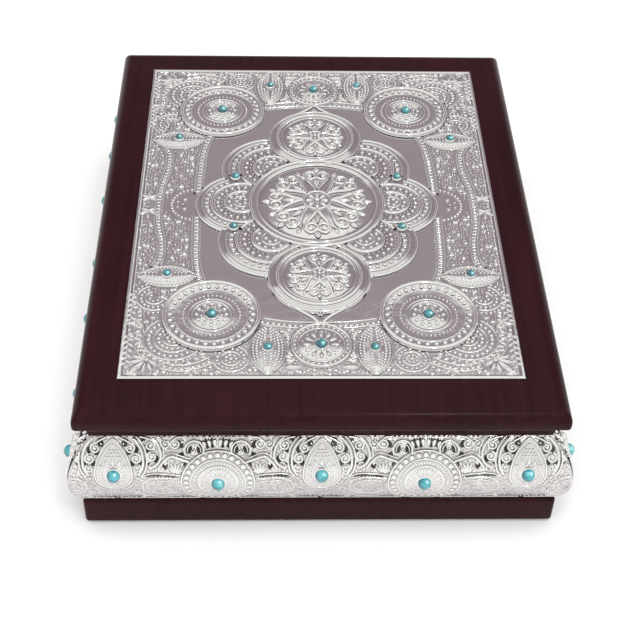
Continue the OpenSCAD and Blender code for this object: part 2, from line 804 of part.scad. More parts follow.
module plate_stone(r, h) { translate([0, 0, z_plate + h]) cabochon(r, plate_stone_h); }
module roundel_stones() {
    color(turquoise) spots(roundel_x, roundel_y) plate_stone(large_stone_r, flat_seat_h);
}
module petal_stones() {
    color(turquoise) spots(petal_stone_x, petal_stone_y) plate_stone(small_stone_r, petal_seat_h);
}
module leaf_stones() { color(turquoise) spots(boat_x, boat_y) plate_stone(small_stone_r, leaf_seat_h); }
module border_stones() {
    color(turquoise) {
        spots(leaf_x, leaf_y) plate_stone(small_stone_r, leaf_seat_h);
        for (s = [-1, 1]) translate([0, s * ring_y, 0]) plate_stone(large_stone_r, flat_seat_h);
    }
}

base_felt();
base_board();
base_screws();
front_wall();
back_wall();
left_wall();
right_wall();
front_band();
back_band();
left_band();
right_band();
front_band_stones();
back_band_stones();
left_band_stones();
right_band_stones();
floor_pad();
front_lining();
back_lining();
left_lining();
right_lining();
left_hinge_box_leaf();
right_hinge_box_leaf();
left_hinge_pin();
right_hinge_pin();
box_hinge_screws();
lid_board();
front_rail();
back_rail();
left_rail();
right_rail();
lid_plate();
roundel_stones();
petal_stones();
leaf_stones();
border_stones();
lid_pad();
left_hinge_lid_leaf();
right_hinge_lid_leaf();
lid_hinge_screws();
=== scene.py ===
# %% [markdown]
# A book box with silver bands and a silver lid plate.
# The box is a wooden case with cushion-shaped sides. Pressed silver sheet wraps the sides and covers the
# lid, and round turquoise stones are set into both. The wooden and metal solids come from the packed
# model; this lesson dresses them. Everything is in metres, with the front of the box towards -Y.

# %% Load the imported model
import math
import bpy
import numpy as np
from mathutils import Matrix, Vector


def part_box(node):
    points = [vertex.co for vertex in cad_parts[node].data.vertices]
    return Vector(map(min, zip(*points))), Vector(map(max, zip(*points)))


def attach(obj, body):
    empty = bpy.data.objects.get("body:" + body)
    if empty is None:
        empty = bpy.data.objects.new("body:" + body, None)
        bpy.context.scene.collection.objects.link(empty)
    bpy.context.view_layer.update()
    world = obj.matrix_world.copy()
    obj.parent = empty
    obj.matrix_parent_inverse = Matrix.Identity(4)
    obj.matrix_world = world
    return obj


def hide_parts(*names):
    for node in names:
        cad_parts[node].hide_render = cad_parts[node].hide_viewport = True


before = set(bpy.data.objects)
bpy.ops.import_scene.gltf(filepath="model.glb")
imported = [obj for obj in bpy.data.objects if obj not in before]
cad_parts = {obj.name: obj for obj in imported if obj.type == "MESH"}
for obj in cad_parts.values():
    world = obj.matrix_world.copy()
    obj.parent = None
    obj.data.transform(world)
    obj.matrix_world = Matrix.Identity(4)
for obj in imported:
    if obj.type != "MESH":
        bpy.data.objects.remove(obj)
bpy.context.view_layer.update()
MM = 0.001

# %% [markdown]
# Sizes read from the solids.
# A dresser measures before cutting cloth. The boards, the plate and the walls give the numbers that later
# pieces follow. A box can't tell how round the cushion sides are, so the radius and swell of that curve are
# typed in, as is the thickness of the plate's sheet. Millimetres are easier to read for ornament, so it is
# drawn in millimetres and turned to metres when a mesh is made.

# %% Measure the solids
def box_mm(node):
    low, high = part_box(node)
    return np.array(low) / MM, np.array(high) / MM


lid_low, lid_high = box_mm("lid_board")
plate_low, plate_high = box_mm("lid_plate")
BASE_TOP = box_mm("base_board")[1][2]
WALL_TOP = box_mm("front_wall")[1][2]
HALF_W, HALF_D = lid_high[:2]
PLATE_X, PLATE_Y = plate_high[:2]
PLATE_T = 1.0
PLATE_Z = plate_low[2] + PLATE_T
BULGE_R = 26.0
BULGE_OUT = 4.2
BULGE_RISE = 16.5
BULGE_Z = BASE_TOP + BULGE_RISE
ARC_P = BULGE_OUT - BULGE_R
print("lid", lid_high - lid_low, "plate top", PLATE_Z, "cushion middle", BULGE_Z)

# %% [markdown]
# Camera.
# The photograph looks down on the front edge of the box from a little left of the middle, with a
# moderately long lens. A camera matrix is built from its yaw, pitch and roll, because three angles are
# easier to check against a picture than a quaternion.

# %% Camera at the photograph's angle
CAMERA_ANGLES = (2.48, -44.16, 1.78)
CAMERA_AT = (-0.01889, -0.513, 0.4930)
SENSOR_WIDTH = 36
LENS = 74.38
yaw, pitch, roll = (math.radians(a) for a in CAMERA_ANGLES)
forward = Vector((math.sin(yaw) * math.cos(pitch), math.cos(yaw) * math.cos(pitch), math.sin(pitch)))
level_right = Vector((math.cos(yaw), -math.sin(yaw), 0))
level_up = level_right.cross(forward)
right = math.cos(roll) * level_right + math.sin(roll) * level_up
up = math.cos(roll) * level_up - math.sin(roll) * level_right
cam_data = bpy.data.cameras.new("photo_camera")
cam_data.sensor_width = SENSOR_WIDTH
cam_data.lens = LENS
camera = bpy.data.objects.new("photo_camera", cam_data)
camera.matrix_world = Matrix.Translation(CAMERA_AT) @ Matrix((right, up, -forward)).transposed().to_4x4()
bpy.context.scene.collection.objects.link(camera)
bpy.context.scene.camera = camera
print("camera at", camera.location)

# %% [markdown]
# Studio.
# Polished silver shows its surroundings, so the room matters as much as the lamps. Only one small lamp is
# mirrored, for the sparks on stones and crests; the two broad ones just give light. The room is white all
# round, with one grey-mauve panel behind the box. The flat parts of the lid mirror that panel and go grey,
# while every slope turns away from it, mirrors the white room and goes bright. Nodes are added by small
# helpers that link a socket or type in a number, whichever they are given.

# %% Pale floor
def set_inputs(tree, node, inputs):
    for label, value in inputs.items():
        if isinstance(value, bpy.types.NodeSocket):
            tree.links.new(value, node.inputs[label])
        else:
            node.inputs[label].default_value = value


def new_finish(name):
    mat = bpy.data.materials.new(name)
    mat.use_nodes = True
    return mat, mat.node_tree, mat.node_tree.nodes["Principled BSDF"]


bpy.ops.object.select_all(action="DESELECT")
bpy.ops.mesh.primitive_plane_add(size=6, location=(0, 0, 0))
floor = bpy.context.object
floor.name = "floor"
pale_floor, tree, shader = new_finish("pale_floor")
set_inputs(tree, shader, {"Base Color": (0.93, 0.93, 0.93, 1), "Roughness": 0.9, "Specular IOR Level": 0.1})
floor.data.materials.append(pale_floor)
print("floor", floor.data.materials[0].name)


# %% White room with one grey panel
def new_node(tree, kind, inputs=None, **settings):
    node = tree.nodes.new("ShaderNode" + kind)
    for setting, value in settings.items():
        setattr(node, setting, value)
    set_inputs(tree, node, inputs or {})
    return node


def maths(tree, operation, first, second):
    return new_node(tree, "Math", {0: first, 1: second}, operation=operation).outputs[0]


def blend(tree, share, first, second, way="MIX"):
    inputs = {"Factor": share, "A": first, "B": second}
    return new_node(tree, "Mix", inputs, data_type="RGBA", blend_type=way).outputs["Result"]


def soft_step(tree, value, start, end, low, high):
    inputs = {"Value": value, "From Min": start, "From Max": end, "To Min": low, "To Max": high}
    return new_node(tree, "MapRange", inputs, interpolation_type="SMOOTHSTEP").outputs["Result"]


ROOM_WHITE = (1.0, 1.0, 0.985, 1)
PANEL_MAUVE = (0.36, 0.302, 0.342, 1)
world = bpy.data.worlds.new("soft_room")
bpy.context.scene.world = world
world.use_nodes = True
sky = world.node_tree
way = new_node(sky, "SeparateXYZ", {0: new_node(sky, "TexCoord").outputs["Generated"]})
height = way.outputs["Z"]
level_share = maths(sky, "SQRT", maths(sky, "SUBTRACT", 1.0, maths(sky, "MULTIPLY", height, height)), 0)
towards_back = maths(sky, "DIVIDE", way.outputs["Y"], level_share)
panel = soft_step(sky, towards_back, 0.25, 0.75, 0.0, 1.0)
panel = maths(sky, "MULTIPLY", panel, soft_step(sky, height, 0.16, 0.34, 0.0, 1.0))
panel = maths(sky, "MULTIPLY", panel, soft_step(sky, height, 0.706, 0.738, 1.0, 0.0))
room = blend(sky, panel, ROOM_WHITE, PANEL_MAUVE)
set_inputs(sky, sky.nodes["Background"], {"Color": room, "Strength": 1.0})
print("room", len(sky.nodes), "nodes")


# %% Soft lamps
def soft_lamp(name, place, size, power, mirrored):
    data = bpy.data.lights.new(name, "AREA")
    data.shape = "SQUARE"
    data.size = size
    data.energy = power
    lamp = bpy.data.objects.new(name, data)
    lamp.location = place
    lamp.rotation_euler = (BOX_MIDDLE - Vector(place)).to_track_quat("-Z", "Y").to_euler()
    lamp.visible_glossy = mirrored
    bpy.context.scene.collection.objects.link(lamp)


BOX_MIDDLE = Vector((0, 0, 0.05))
soft_lamp("ceiling_lamp", (0.1, -0.15, 1.5), 1.6, 11, False)
soft_lamp("front_lamp", (-0.9, -1.3, 0.9), 0.8, 2, False)
soft_lamp("spark_lamp", (0.25, -0.75, 1.25), 0.16, 1.6, True)
bpy.context.scene.view_settings.view_transform = "Standard"
print("studio ready")

# %% [markdown]
# Shared shader groups.
# Two effects come back in several finishes: a soft cloudy variation, and tool marks that change the
# shine. Each is built once as a node group with named inputs, so one finish can have broad clouds and
# another fine ones. Groups hand out masks only; the shader itself stays in each material.

# %% Cloud and tool-mark groups
def new_group(name, **inputs):
    group = bpy.data.node_groups.new(name, "ShaderNodeTree")
    for label, value in inputs.items():
        kind = "NodeSocketVector" if isinstance(value, tuple) else "NodeSocketFloat"
        group.interface.new_socket(label, in_out="INPUT", socket_type=kind).default_value = value
    group.interface.new_socket("Mask", in_out="OUTPUT", socket_type="NodeSocketFloat")
    given = group.nodes.new("NodeGroupInput").outputs
    return group, given, group.nodes.new("NodeGroupOutput").inputs["Mask"]


def object_coords(tree):
    return new_node(tree, "TexCoord").outputs["Object"]


def noise_in(tree, vector, scale, detail):
    return new_node(tree, "TexNoise", {"Vector": vector, "Scale": scale, "Detail": detail}).outputs["Fac"]


def added(tree, first, second, share, clamp=False):
    inputs = {0: second, 1: share, 2: first}
    return new_node(tree, "Math", inputs, operation="MULTIPLY_ADD", use_clamp=clamp).outputs[0]


cloud, given, mask = new_group("cloud", Scale=40.0, Contrast=1.0)
centred = maths(cloud, "SUBTRACT", noise_in(cloud, object_coords(cloud), given["Scale"], 4), 0.5)
cloud.links.new(added(cloud, 0.5, centred, given["Contrast"], True), mask)

marks, given, mask = new_group("tool_marks", Along=(40.0, 900.0, 900.0))
stretch = new_node(marks, "Mapping", {"Vector": object_coords(marks), "Scale": given["Along"]})
marks.links.new(noise_in(marks, stretch.outputs["Vector"], 1.0, 3), mask)
print("groups", [g.name for g in bpy.data.node_groups])

# %% [markdown]
# Finishes.
# Each finish starts from the Principled shader. Colour comes from a ramp between two or three tones that
# the cloud group mixes, the shine from the tool marks, and a small bump breaks up reflections. Numbers
# that are the same everywhere are typed straight into the shader.

# %% Finish helpers
def group_node(tree, group, **values):
    return new_node(tree, "Group", values, node_tree=group).outputs["Mask"]


def tone_ramp(tree, mask, tones):
    node = new_node(tree, "ValToRGB", {"Fac": mask})
    first, last = node.color_ramp.elements
    first.position, first.color = tones[0][0], (*tones[0][1], 1)
    last.position, last.color = tones[-1][0], (*tones[-1][1], 1)
    for place, colour in tones[1:-1]:
        node.color_ramp.elements.new(place).color = (*colour, 1)
    return node.outputs["Color"]


def grey(value):
    return (value, value, value)


def spread(tree, mask, low, high):
    return new_node(tree, "MapRange", {"Value": mask, "To Min": low, "To Max": high}).outputs["Result"]


def bump(tree, height, strength, distance):
    inputs = {"Strength": strength, "Distance": distance, "Height": height}
    return new_node(tree, "Bump", inputs).outputs["Normal"]


# %% [markdown]
# Dark lacquer.
# The wood is stained almost black with a wine-red depth and finished in gloss lacquer. The grain barely
# shows, as long faint streaks along the board, so it is a stretched noise of low contrast.

# %% Dark lacquered wood
WOOD_STAIN = [(0.35, (0.0142, 0.0029, 0.0042)), (0.62, (0.0218, 0.0044, 0.0063)),
              (0.95, (0.0305, 0.0060, 0.0086))]


def lacquer(name, along):
    mat, tree, shader = new_finish(name)
    streak = group_node(tree, marks, Along=along)
    patch = group_node(tree, cloud, Scale=22.0, Contrast=1.4)
    smear = group_node(tree, cloud, Scale=60.0, Contrast=1.2)
    peel = group_node(tree, cloud, Scale=420.0, Contrast=1.0)
    set_inputs(tree, shader, {
        "Base Color": tone_ramp(tree, added(tree, streak, patch, 0.35), WOOD_STAIN),
        "Roughness": spread(tree, smear, 0.22, 0.34),
        "Specular IOR Level": 0.07,
        "Coat Weight": 0.04,
        "Coat Roughness": 0.12,
        "Normal": bump(tree, peel, 0.06, 0.0004)})
    return mat


lacquer_across = lacquer("lacquer_across", (9.0, 260.0, 260.0))
lacquer_deep = lacquer("lacquer_deep", (260.0, 9.0, 260.0))
print("lacquer", lacquer_across.name, lacquer_deep.name)

# %% [markdown]
# Pressed silver.
# The sheet is bright where it is rubbed and dark in the corners that a cloth can't reach; that dark is
# partly tarnish and partly painted shade in the crevices. Each silver mesh carries an attribute called tone,
# low at the foot of an ornament and high on its crest, and the colour and the shine follow it. A slow wave
# in the normal makes the flat parts look hammered, not cast.

# %% Pressed silver
def silver(name, wave, grain, polish, foot, shade):
    mat, tree, shader = new_finish(name)
    tone = new_node(tree, "Attribute", attribute_name="tone").outputs["Fac"]
    haze = group_node(tree, cloud, Scale=70.0, Contrast=1.6)
    rub = group_node(tree, marks, Along=(260.0, 340.0, 300.0))
    slow = group_node(tree, cloud, Scale=wave, Contrast=1.0)
    fine = group_node(tree, cloud, Scale=grain, Contrast=1.0)
    # Low tones darken the feet of the relief: partly tarnish, partly painted shade.
    tones = [(0.10, foot), (0.38, shade), (0.72, (0.74, 0.725, 0.72)), (1.0, (0.85, 0.85, 0.83))]
    set_inputs(tree, shader, {
        "Base Color": tone_ramp(tree, added(tree, tone, haze, 0.16), tones),
        "Metallic": 1.0,
        "Roughness": spread(tree, rub, polish, 2.1 * polish),
        "Normal": bump(tree, added(tree, slow, fine, 0.10), 0.22, 0.0006)})
    return mat


silver_plate = silver("silver_plate", 120.0, 2400.0, 0.05, (0.17, 0.155, 0.16), (0.46, 0.435, 0.445))
silver_band = silver("silver_band", 150.0, 2600.0, 0.14, (0.045, 0.040, 0.041), (0.38, 0.36, 0.365))
print("silver", silver_plate.name, silver_band.name)

# %% [markdown]
# Turquoise.
# The stones have soft clouds and thin dark veins under a polish. The bands carry sky-blue ones, the plate
# greener ones. Their colour also holds painted light: each dome is painted darker where it faces away from
# one fixed light direction, with a pale painted glint where it faces towards it.

# %% Polished turquoise
PAINTED_LIGHT_SIDE = (0.33, -0.50, 0.80)
VEIN_COLOUR = (0.035, 0.10, 0.10, 1)
PAINTED_GLINT_COLOUR = (0.55, 0.86, 0.88, 1)


def turquoise(name, dark, middle, pale):
    mat, tree, shader = new_finish(name)
    patch = group_node(tree, cloud, Scale=420.0, Contrast=2.2)
    stone = tone_ramp(tree, patch, [(0.15, dark), (0.5, middle), (0.85, pale)])
    vein_inputs = {"Vector": object_coords(tree), "Scale": 330.0}
    vein = new_node(tree, "TexVoronoi", vein_inputs, feature="DISTANCE_TO_EDGE").outputs["Distance"]
    veined = blend(tree, tone_ramp(tree, vein, [(0.0, grey(0.45)), (0.05, grey(0.0))]), stone, VEIN_COLOUR)
    # The dot product below is taken with one fixed light direction; the two ramps after it paint shade on the
    # far side of each dome and a pale glint on the near side.
    facing = {0: new_node(tree, "NewGeometry").outputs["Normal"], 1: PAINTED_LIGHT_SIDE}
    painted_light_facing = new_node(tree, "VectorMath", facing, operation="DOT_PRODUCT").outputs["Value"]
    depth = tone_ramp(tree, painted_light_facing, [(0.30, (0.30, 0.40, 0.44)), (0.86, grey(1.0))])
    painted_glint = tone_ramp(tree, painted_light_facing, [(0.93, grey(0.0)), (0.985, grey(0.7))])
    set_inputs(tree, shader, {
        "Base Color": blend(tree, painted_glint, blend(tree, 1.0, veined, depth, "MULTIPLY"), PAINTED_GLINT_COLOUR),
        "Roughness": spread(tree, patch, 0.10, 0.18),
        "Coat Weight": 1.0,
        "Coat Roughness": 0.08})
    return mat


sky_stone = turquoise("sky_turquoise", (0.030, 0.270, 0.330), (0.055, 0.430, 0.490), (0.150, 0.580, 0.620))
teal_stone = turquoise("teal_turquoise", (0.010, 0.105, 0.125), (0.020, 0.205, 0.230), (0.052, 0.350, 0.375))
print("turquoise", sky_stone.name, teal_stone.name)

# %% [markdown]
# Velvet, felt and hinge metal.
# Velvet and felt are rough with a sheen that catches the rim of a fold. The hinges are drawn brass with
# fine lines, the screws under the base plain steel.

# %% Cloth and hinge finishes
def cloth(name, dark, light, pile):
    mat, tree, shader = new_finish(name)
    brushed = group_node(tree, cloud, Scale=90.0, Contrast=0.9)
    fibre = group_node(tree, cloud, Scale=pile, Contrast=1.6)
    set_inputs(tree, shader, {
        "Base Color": tone_ramp(tree, added(tree, brushed, fibre, 0.35), [(0.3, dark), (1.0, light)]),
        "Roughness": spread(tree, fibre, 0.82, 0.98),
        "Sheen Weight": 0.3,
        "Sheen Roughness": 0.45,
        "Sheen Tint": (*[min(1.0, 5 * c) for c in light], 1),
        "Specular IOR Level": 0.15,
        "Normal": bump(tree, fibre, 0.5, 0.0004)})
    return mat


def drawn_metal(name, dark, light, rough):
    mat, tree, shader = new_finish(name)
    lines = group_node(tree, marks, Along=(60.0, 1500.0, 1500.0))
    stain = group_node(tree, cloud, Scale=140.0, Contrast=1.8)
    set_inputs(tree, shader, {
        "Base Color": tone_ramp(tree, added(tree, lines, stain, 0.4), [(0.3, dark), (0.9, light)]),
        "Roughness": spread(tree, lines, rough, rough + 0.16),
        "Metallic": 1.0,
        "Normal": bump(tree, lines, 0.08, 0.0002)})
    return mat


velvet = cloth("wine_velvet", (0.055, 0.004, 0.012), (0.150, 0.012, 0.032), 1500.0)
felt = cloth("black_felt", (0.010, 0.010, 0.011), (0.030, 0.030, 0.033), 1100.0)
brass = drawn_metal("drawn_brass", (0.46, 0.29, 0.09), (0.80, 0.60, 0.26), 0.2)
steel = drawn_metal("screw_steel", (0.35, 0.35, 0.36), (0.62, 0.61, 0.60), 0.28)
print("finishes", [m.name for m in bpy.data.materials])

# %% [markdown]
# The solids that stay.
# The walls, rails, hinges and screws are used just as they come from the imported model, so they only need a
# finish. On the front and back the grain runs across, on the sides it runs from front to back.

# %% Give the kept solids their finish
def dress(node, mat):
    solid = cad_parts[node]
    solid.data.materials.clear()
    solid.data.materials.append(mat)


SIDES = ("front", "back", "left", "right")
for side in SIDES:
    wood = lacquer_across if side in ("front", "back") else lacquer_deep
    dress(side + "_wall", wood)
    dress(side + "_rail", wood)
for hinge in ("left", "right"):
    for piece in ("box_leaf", "lid_leaf", "pin"):
        dress(f"{hinge}_hinge_{piece}", brass)
for screws, metal in (("box_hinge_screws", brass), ("lid_hinge_screws", brass), ("base_screws", steel)):
    dress(screws, metal)
print("solids dressed")

# %% [markdown]
# A kit for pressed ornament.
# Pressed silver is a sheet pushed up from behind with steel punches: dots, ridges, leaves, rings. The same
# few punches make everything, so each punch is modelled once here and then struck many times. A Relief
# collects the strikes as flat points in millimetres, and a tone for each point: dark at the foot, bright on
# the crest. Collecting thousands of strikes in arrays keeps them light; one object each would be slow.

# %% Collect strikes into one mesh
class Relief:
    def __init__(self):
        self.points, self.faces, self.tones, self.count = [], [], [], 0

    def add(self, points, faces, tones):
        self.points.append(points)
        self.tones.append(tones)
        self.faces.extend(face + self.count for face in faces)
        self.count += len(points)

    def mirror(self, other, *signs):
        for sx, sy in signs:
            points = np.concatenate(other.points) * (sx, sy, 1)
            faces = [face if sx * sy > 0 else face[:, ::-1] for face in other.faces]
            self.add(points, faces, np.concatenate(other.tones))


ALL_FOUR = ((1, 1), (-1, 1), (1, -1), (-1, -1))
FRONT_BACK = ((1, 1), (1, -1))
LEFT_RIGHT = ((1, 1), (-1, 1))


def flat_place(points):
    return points + (0, 0, PLATE_Z)


def put_in_scene(name, mesh):
    thing = bpy.data.objects.new(name, mesh)
    bpy.context.scene.collection.objects.link(thing)
    bpy.ops.object.select_all(action="DESELECT")
    thing.select_set(True)
    bpy.context.view_layer.objects.active = thing
    return thing


def make_piece(name, relief, place, mat, body, node, crease=None):
    points = place(np.concatenate(relief.points)) * MM
    loops = np.concatenate([face.ravel() for face in relief.faces]).astype(np.int32)
    sizes = np.concatenate([np.full(len(face), face.shape[1]) for face in relief.faces])
    starts = (np.cumsum(sizes) - sizes).astype(np.int32)
    mesh = bpy.data.meshes.new(name)
    mesh.vertices.add(len(points))
    mesh.vertices.foreach_set("co", points.astype(np.float32).ravel())
    mesh.loops.add(len(loops))
    mesh.loops.foreach_set("vertex_index", loops)
    mesh.polygons.add(len(starts))
    mesh.polygons.foreach_set("loop_start", starts)
    mesh.update(calc_edges=True)
    mesh.validate()
    tone = mesh.attributes.new("tone", "FLOAT", "POINT")
    tone.data.foreach_set("value", np.concatenate(relief.tones).astype(np.float32))
    mesh.materials.append(mat)
    piece = put_in_scene(name, mesh)
    bpy.ops.object.shade_smooth()
    if crease:
        bpy.ops.object.shade_smooth_by_angle(angle=math.radians(crease))
    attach(piece, body)
    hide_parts(node)
    print(name, int((sizes - 2).sum()), "triangles")


# %% [markdown]
# The punches.
# A bead is half a small ball, a stud is a bevelled block, a leaf is a pointed grid with a midrib, a petal
# has none, and a shadow patch is a leaf pressed flat and blackened, a painted shadow. Each starts as a
# primitive, is cut or shaped, is read as points, and is then removed, because only its strikes are kept.

# %% Model the punches once
# Each punch is darker towards its foot: partly tarnish, partly painted shade.
FOOT_TONE = 0.15


def lift_punch():
    punch = bpy.context.object
    mesh = punch.data
    points = np.zeros(len(mesh.vertices) * 3)
    mesh.vertices.foreach_get("co", points)
    points = points.reshape(-1, 3)
    faces = {}
    for polygon in mesh.polygons:
        faces.setdefault(len(polygon.vertices), []).append(list(polygon.vertices))
    high = points[:, 2].max()
    tones = FOOT_TONE + (1.0 - FOOT_TONE) * np.clip(points[:, 2] / high, 0, 1) ** 0.7
    bpy.data.objects.remove(punch)
    return points, [np.array(group) for group in faces.values()], tones


def half_ball(segments, rings):
    bpy.ops.object.select_all(action="DESELECT")
    bpy.ops.mesh.primitive_uv_sphere_add(segments=segments, ring_count=rings, radius=1)
    bpy.ops.object.mode_set(mode="EDIT")
    bpy.ops.mesh.select_all(action="SELECT")
    bpy.ops.mesh.bisect(plane_co=(0, 0, -0.12), plane_no=(0, 0, 1), clear_inner=True)
    bpy.ops.object.mode_set(mode="OBJECT")
    return lift_punch()


def bevelled_block():
    bpy.ops.object.select_all(action="DESELECT")
    bpy.ops.mesh.primitive_cube_add(size=2)
    bpy.ops.object.mode_set(mode="EDIT")
    bpy.ops.mesh.select_all(action="SELECT")
    bpy.ops.mesh.bevel(offset=0.5, segments=2, affect="EDGES")
    bpy.ops.mesh.bisect(plane_co=(0, 0, -0.1), plane_no=(0, 0, 1), clear_inner=True)
    bpy.ops.object.mode_set(mode="OBJECT")
    return lift_punch()


def shaped_leaf(across, along, rib, belly):
    bpy.ops.object.select_all(action="DESELECT")
    bpy.ops.mesh.primitive_grid_add(x_subdivisions=across, y_subdivisions=along, size=2)
    mesh = bpy.context.object.data
    for vertex in mesh.vertices:
        k, t = vertex.co.x, vertex.co.y
        width = max(0.02, (1 - t * t) ** 0.75 * (1 - belly * t))
        swell = 1 - abs(k) ** 2.2
        spine = rib * max(0.0, 1 - 3.2 * abs(k))
        vertex.co = (0.5 * k * width, 0.5 * (t + 1), (0.72 * swell + spine) * width ** 0.5 - 0.08)
    return lift_punch()


bead = half_ball(10, 6)
dot = half_ball(6, 4)
stud = bevelled_block()
leaf = shaped_leaf(6, 9, 0.35, 0.35)
petal = shaped_leaf(4, 6, 0.0, -0.45)
# A leaf pressed flat with the darkest tone: a painted shadow patch, not a recess.
shadow_patch = leaf[0] * (1, 1, 0) + (0, 0, 1), leaf[1], np.full(len(leaf[0]), 0.02)
print("punches", [len(p[0]) for p in (bead, dot, stud, leaf, petal, shadow_patch)])


# %% [markdown]
# Strikes and ridges.
# A strike is a row of numbers: place, width, length, height and turn. A ridge is a raised line, drawn by
# moving a half-round section along a path. Beside a line the section can get a flat dark strip of painted
# shade.

# %% Strike a punch, or draw a ridge along a path
def rows_of(x, y, z, wide, long, high, turn):
    return np.stack(np.broadcast_arrays(x, y, z, wide, long, high, turn), 1)


def strike(relief, punch, rows):
    rows = np.atleast_2d(np.asarray(rows, float))
    points, faces, tones = punch
    turn = np.radians(rows[:, 6])[:, None]
    x = points[None, :, 0] * rows[:, 3:4]
    y = points[None, :, 1] * rows[:, 4:5]
    placed = np.stack([rows[:, 0:1] + x * np.cos(turn) - y * np.sin(turn),
                       rows[:, 1:2] + x * np.sin(turn) + y * np.cos(turn),
                       rows[:, 2:3] + points[None, :, 2] * rows[:, 5:6]], 2)
    shift = np.arange(len(rows))[:, None, None] * len(points)
    moved = [(face[None] + shift).reshape(-1, face.shape[1]) for face in faces]
    relief.add(placed.reshape(-1, 3), moved, np.tile(tones, len(rows)))


# A ridge is darker at its feet: partly tarnish, partly painted shade.
RIDGE_K = np.array([-1.0, -0.86, -0.5, 0.0, 0.5, 0.86, 1.0])
RIDGE_H = np.array([-0.10, 0.42, 0.86, 1.0, 0.86, 0.42, -0.10])
RIDGE_TONE = np.array([0.12, 0.55, 0.92, 1.0, 0.92, 0.55, 0.12])


def ridge(relief, path, half, height, base=0.0, closed=False, start=1.0, end=1.0, shade_strip=0.0):
    path = np.asarray(path, float)
    count = len(path)
    if closed:
        ahead = np.roll(path, -1, 0) - np.roll(path, 1, 0)
    else:
        ahead = np.gradient(path, axis=0)
    ahead /= np.linalg.norm(ahead, axis=1)[:, None] + 1e-9
    across = np.stack([-ahead[:, 1], ahead[:, 0]], 1)
    size = np.linspace(start, end, count)[:, None]
    ground = base(path[:, 0], path[:, 1])[:, None] if callable(base) else base
    wings, rises, tones = RIDGE_K * half, RIDGE_H * height, RIDGE_TONE
    # The strip beside the line is flat and dark: painted shade, not a dip in the sheet.
    if shade_strip:
        brink = np.array([half + shade_strip, half + 0.35 * shade_strip])
        wings = np.concatenate([-brink, wings, brink[::-1]])
        rises = np.concatenate([[0.03, 0.02], rises, [0.02, 0.03]])
        tones = np.concatenate([[0.62, 0.16], tones, [0.16, 0.62]])
    flat = path[:, None] + across[:, None] * (wings[None] * size)[:, :, None]
    high = ground + rises[None] * size
    points = np.concatenate([flat, high[:, :, None]], 2).reshape(-1, 3)
    wide = len(wings)
    rows = np.arange(count if closed else count - 1)[:, None]
    cols = np.arange(wide - 1)[None]
    here = rows * wide + cols
    there = ((rows + 1) % count) * wide + cols
    faces = np.stack([here, there, there + 1, here + 1], 2).reshape(-1, 4)
    relief.add(points, [faces], np.tile(tones, count))


# %% Paths: arcs, smooth curves, spirals and rows
def arc(cx, cy, r, a0=0.0, a1=360.0, step=1.0):
    count = max(8, int(abs(a1 - a0) / 360 * 2 * math.pi * r / step))
    a = np.radians(np.linspace(a0, a1, count + 1))
    return np.stack([cx + r * np.cos(a), cy + r * np.sin(a)], 1)


def circle(cx, cy, r, step=1.0):
    return arc(cx, cy, r, 0, 360, step)[:-1]


def curve(points, step=0.8):
    points = np.asarray(points, float)
    ends = np.concatenate([[2 * points[0] - points[1]], points, [2 * points[-1] - points[-2]]])
    parts = []
    for a, b, c, d in zip(ends, ends[1:], ends[2:], ends[3:]):
        count = max(3, int(np.linalg.norm(c - b) / step))
        t = np.linspace(0, 1, count, endpoint=False)[:, None]
        parts.append(0.5 * (2 * b + (c - a) * t + (2 * a - 5 * b + 4 * c - d) * t ** 2
                            + (3 * b - a - 3 * c + d) * t ** 3))
    return np.concatenate(parts + [points[-1:]])


CURL_END = 0.22


def curl(start, middle, turns, step):
    away = np.asarray(start, float) - middle
    r0 = math.hypot(*away)
    a0 = math.atan2(away[1], away[0])
    count = max(10, int(abs(turns) * 2 * math.pi * r0 * 0.6 / step))
    t = np.linspace(0, 1, count)
    r = r0 * (1 - t * (1 - CURL_END))
    a = a0 + turns * 2 * math.pi * t
    return np.stack([middle[0] + r * np.cos(a), middle[1] + r * np.sin(a)], 1)


def scroll(stem, middle, turns, step=0.6):
    stem = curve(stem, step)
    return np.concatenate([stem[:-1], curl(stem[-1], middle, turns, step)])


def runs(path, keep):
    found, now = [], []
    for point, ok in zip(path, keep):
        if ok:
            now.append(point)
        elif now:
            found.append(np.array(now))
            now = []
    if now:
        found.append(np.array(now))
    return [run for run in found if len(run) > 3]


def along(path, gap):
    steps = np.linalg.norm(np.diff(path, axis=0), axis=1)
    far = np.concatenate([[0], np.cumsum(steps)])
    count = max(1, int(round(far[-1] / gap)))
    spots = (np.arange(count) + 0.5) * far[-1] / count
    x = np.interp(spots, far, path[:, 0])
    y = np.interp(spots, far, path[:, 1])
    ahead = np.gradient(path, axis=0)
    turn = np.degrees(np.arctan2(ahead[:, 1], ahead[:, 0]))
    return x, y, np.interp(spots, far, np.degrees(np.unwrap(np.radians(turn))))


def beside(path, offset):
    ahead = np.gradient(path, axis=0)
    ahead /= np.linalg.norm(ahead, axis=1)[:, None]
    return path + np.stack([-ahead[:, 1], ahead[:, 0]], 1) * offset

# %% [markdown]
# The lid plate's forms.
# Under the fine ornament the sheet is raised in discs: a middle medallion, two smaller ones, six petals
# behind them, four corner roundels and two rings. Each is a profile spun round its middle, as on a lathe.
# The same profiles give the ground height anywhere on the plate, so ornament sits on the right level.

# %% Profiles as radius, height and tone
ROUNDEL_AT = (49.5, 79.5)
SMALL_AT = (0.0, 54.0)
PETAL_AT = (22.5, 28.0)
SIDE_AT = (37.5, 0.0)
RING_AT = (0.0, 98.7)
BOAT_AT = (71.3, 53.2)
ALMOND_AT = (23.8, 101.5)
FAN_AT = (66.0, 94.5)
PETAL_STONE_AT = (41.0, 19.6)
MEDAL_R = 34.0
PETAL_R = 26.0
SIDE_R = 23.0
ROUNDEL_R = 22.5
RING_CLEAR = 14.3
SMALL_CLEAR = 25.0
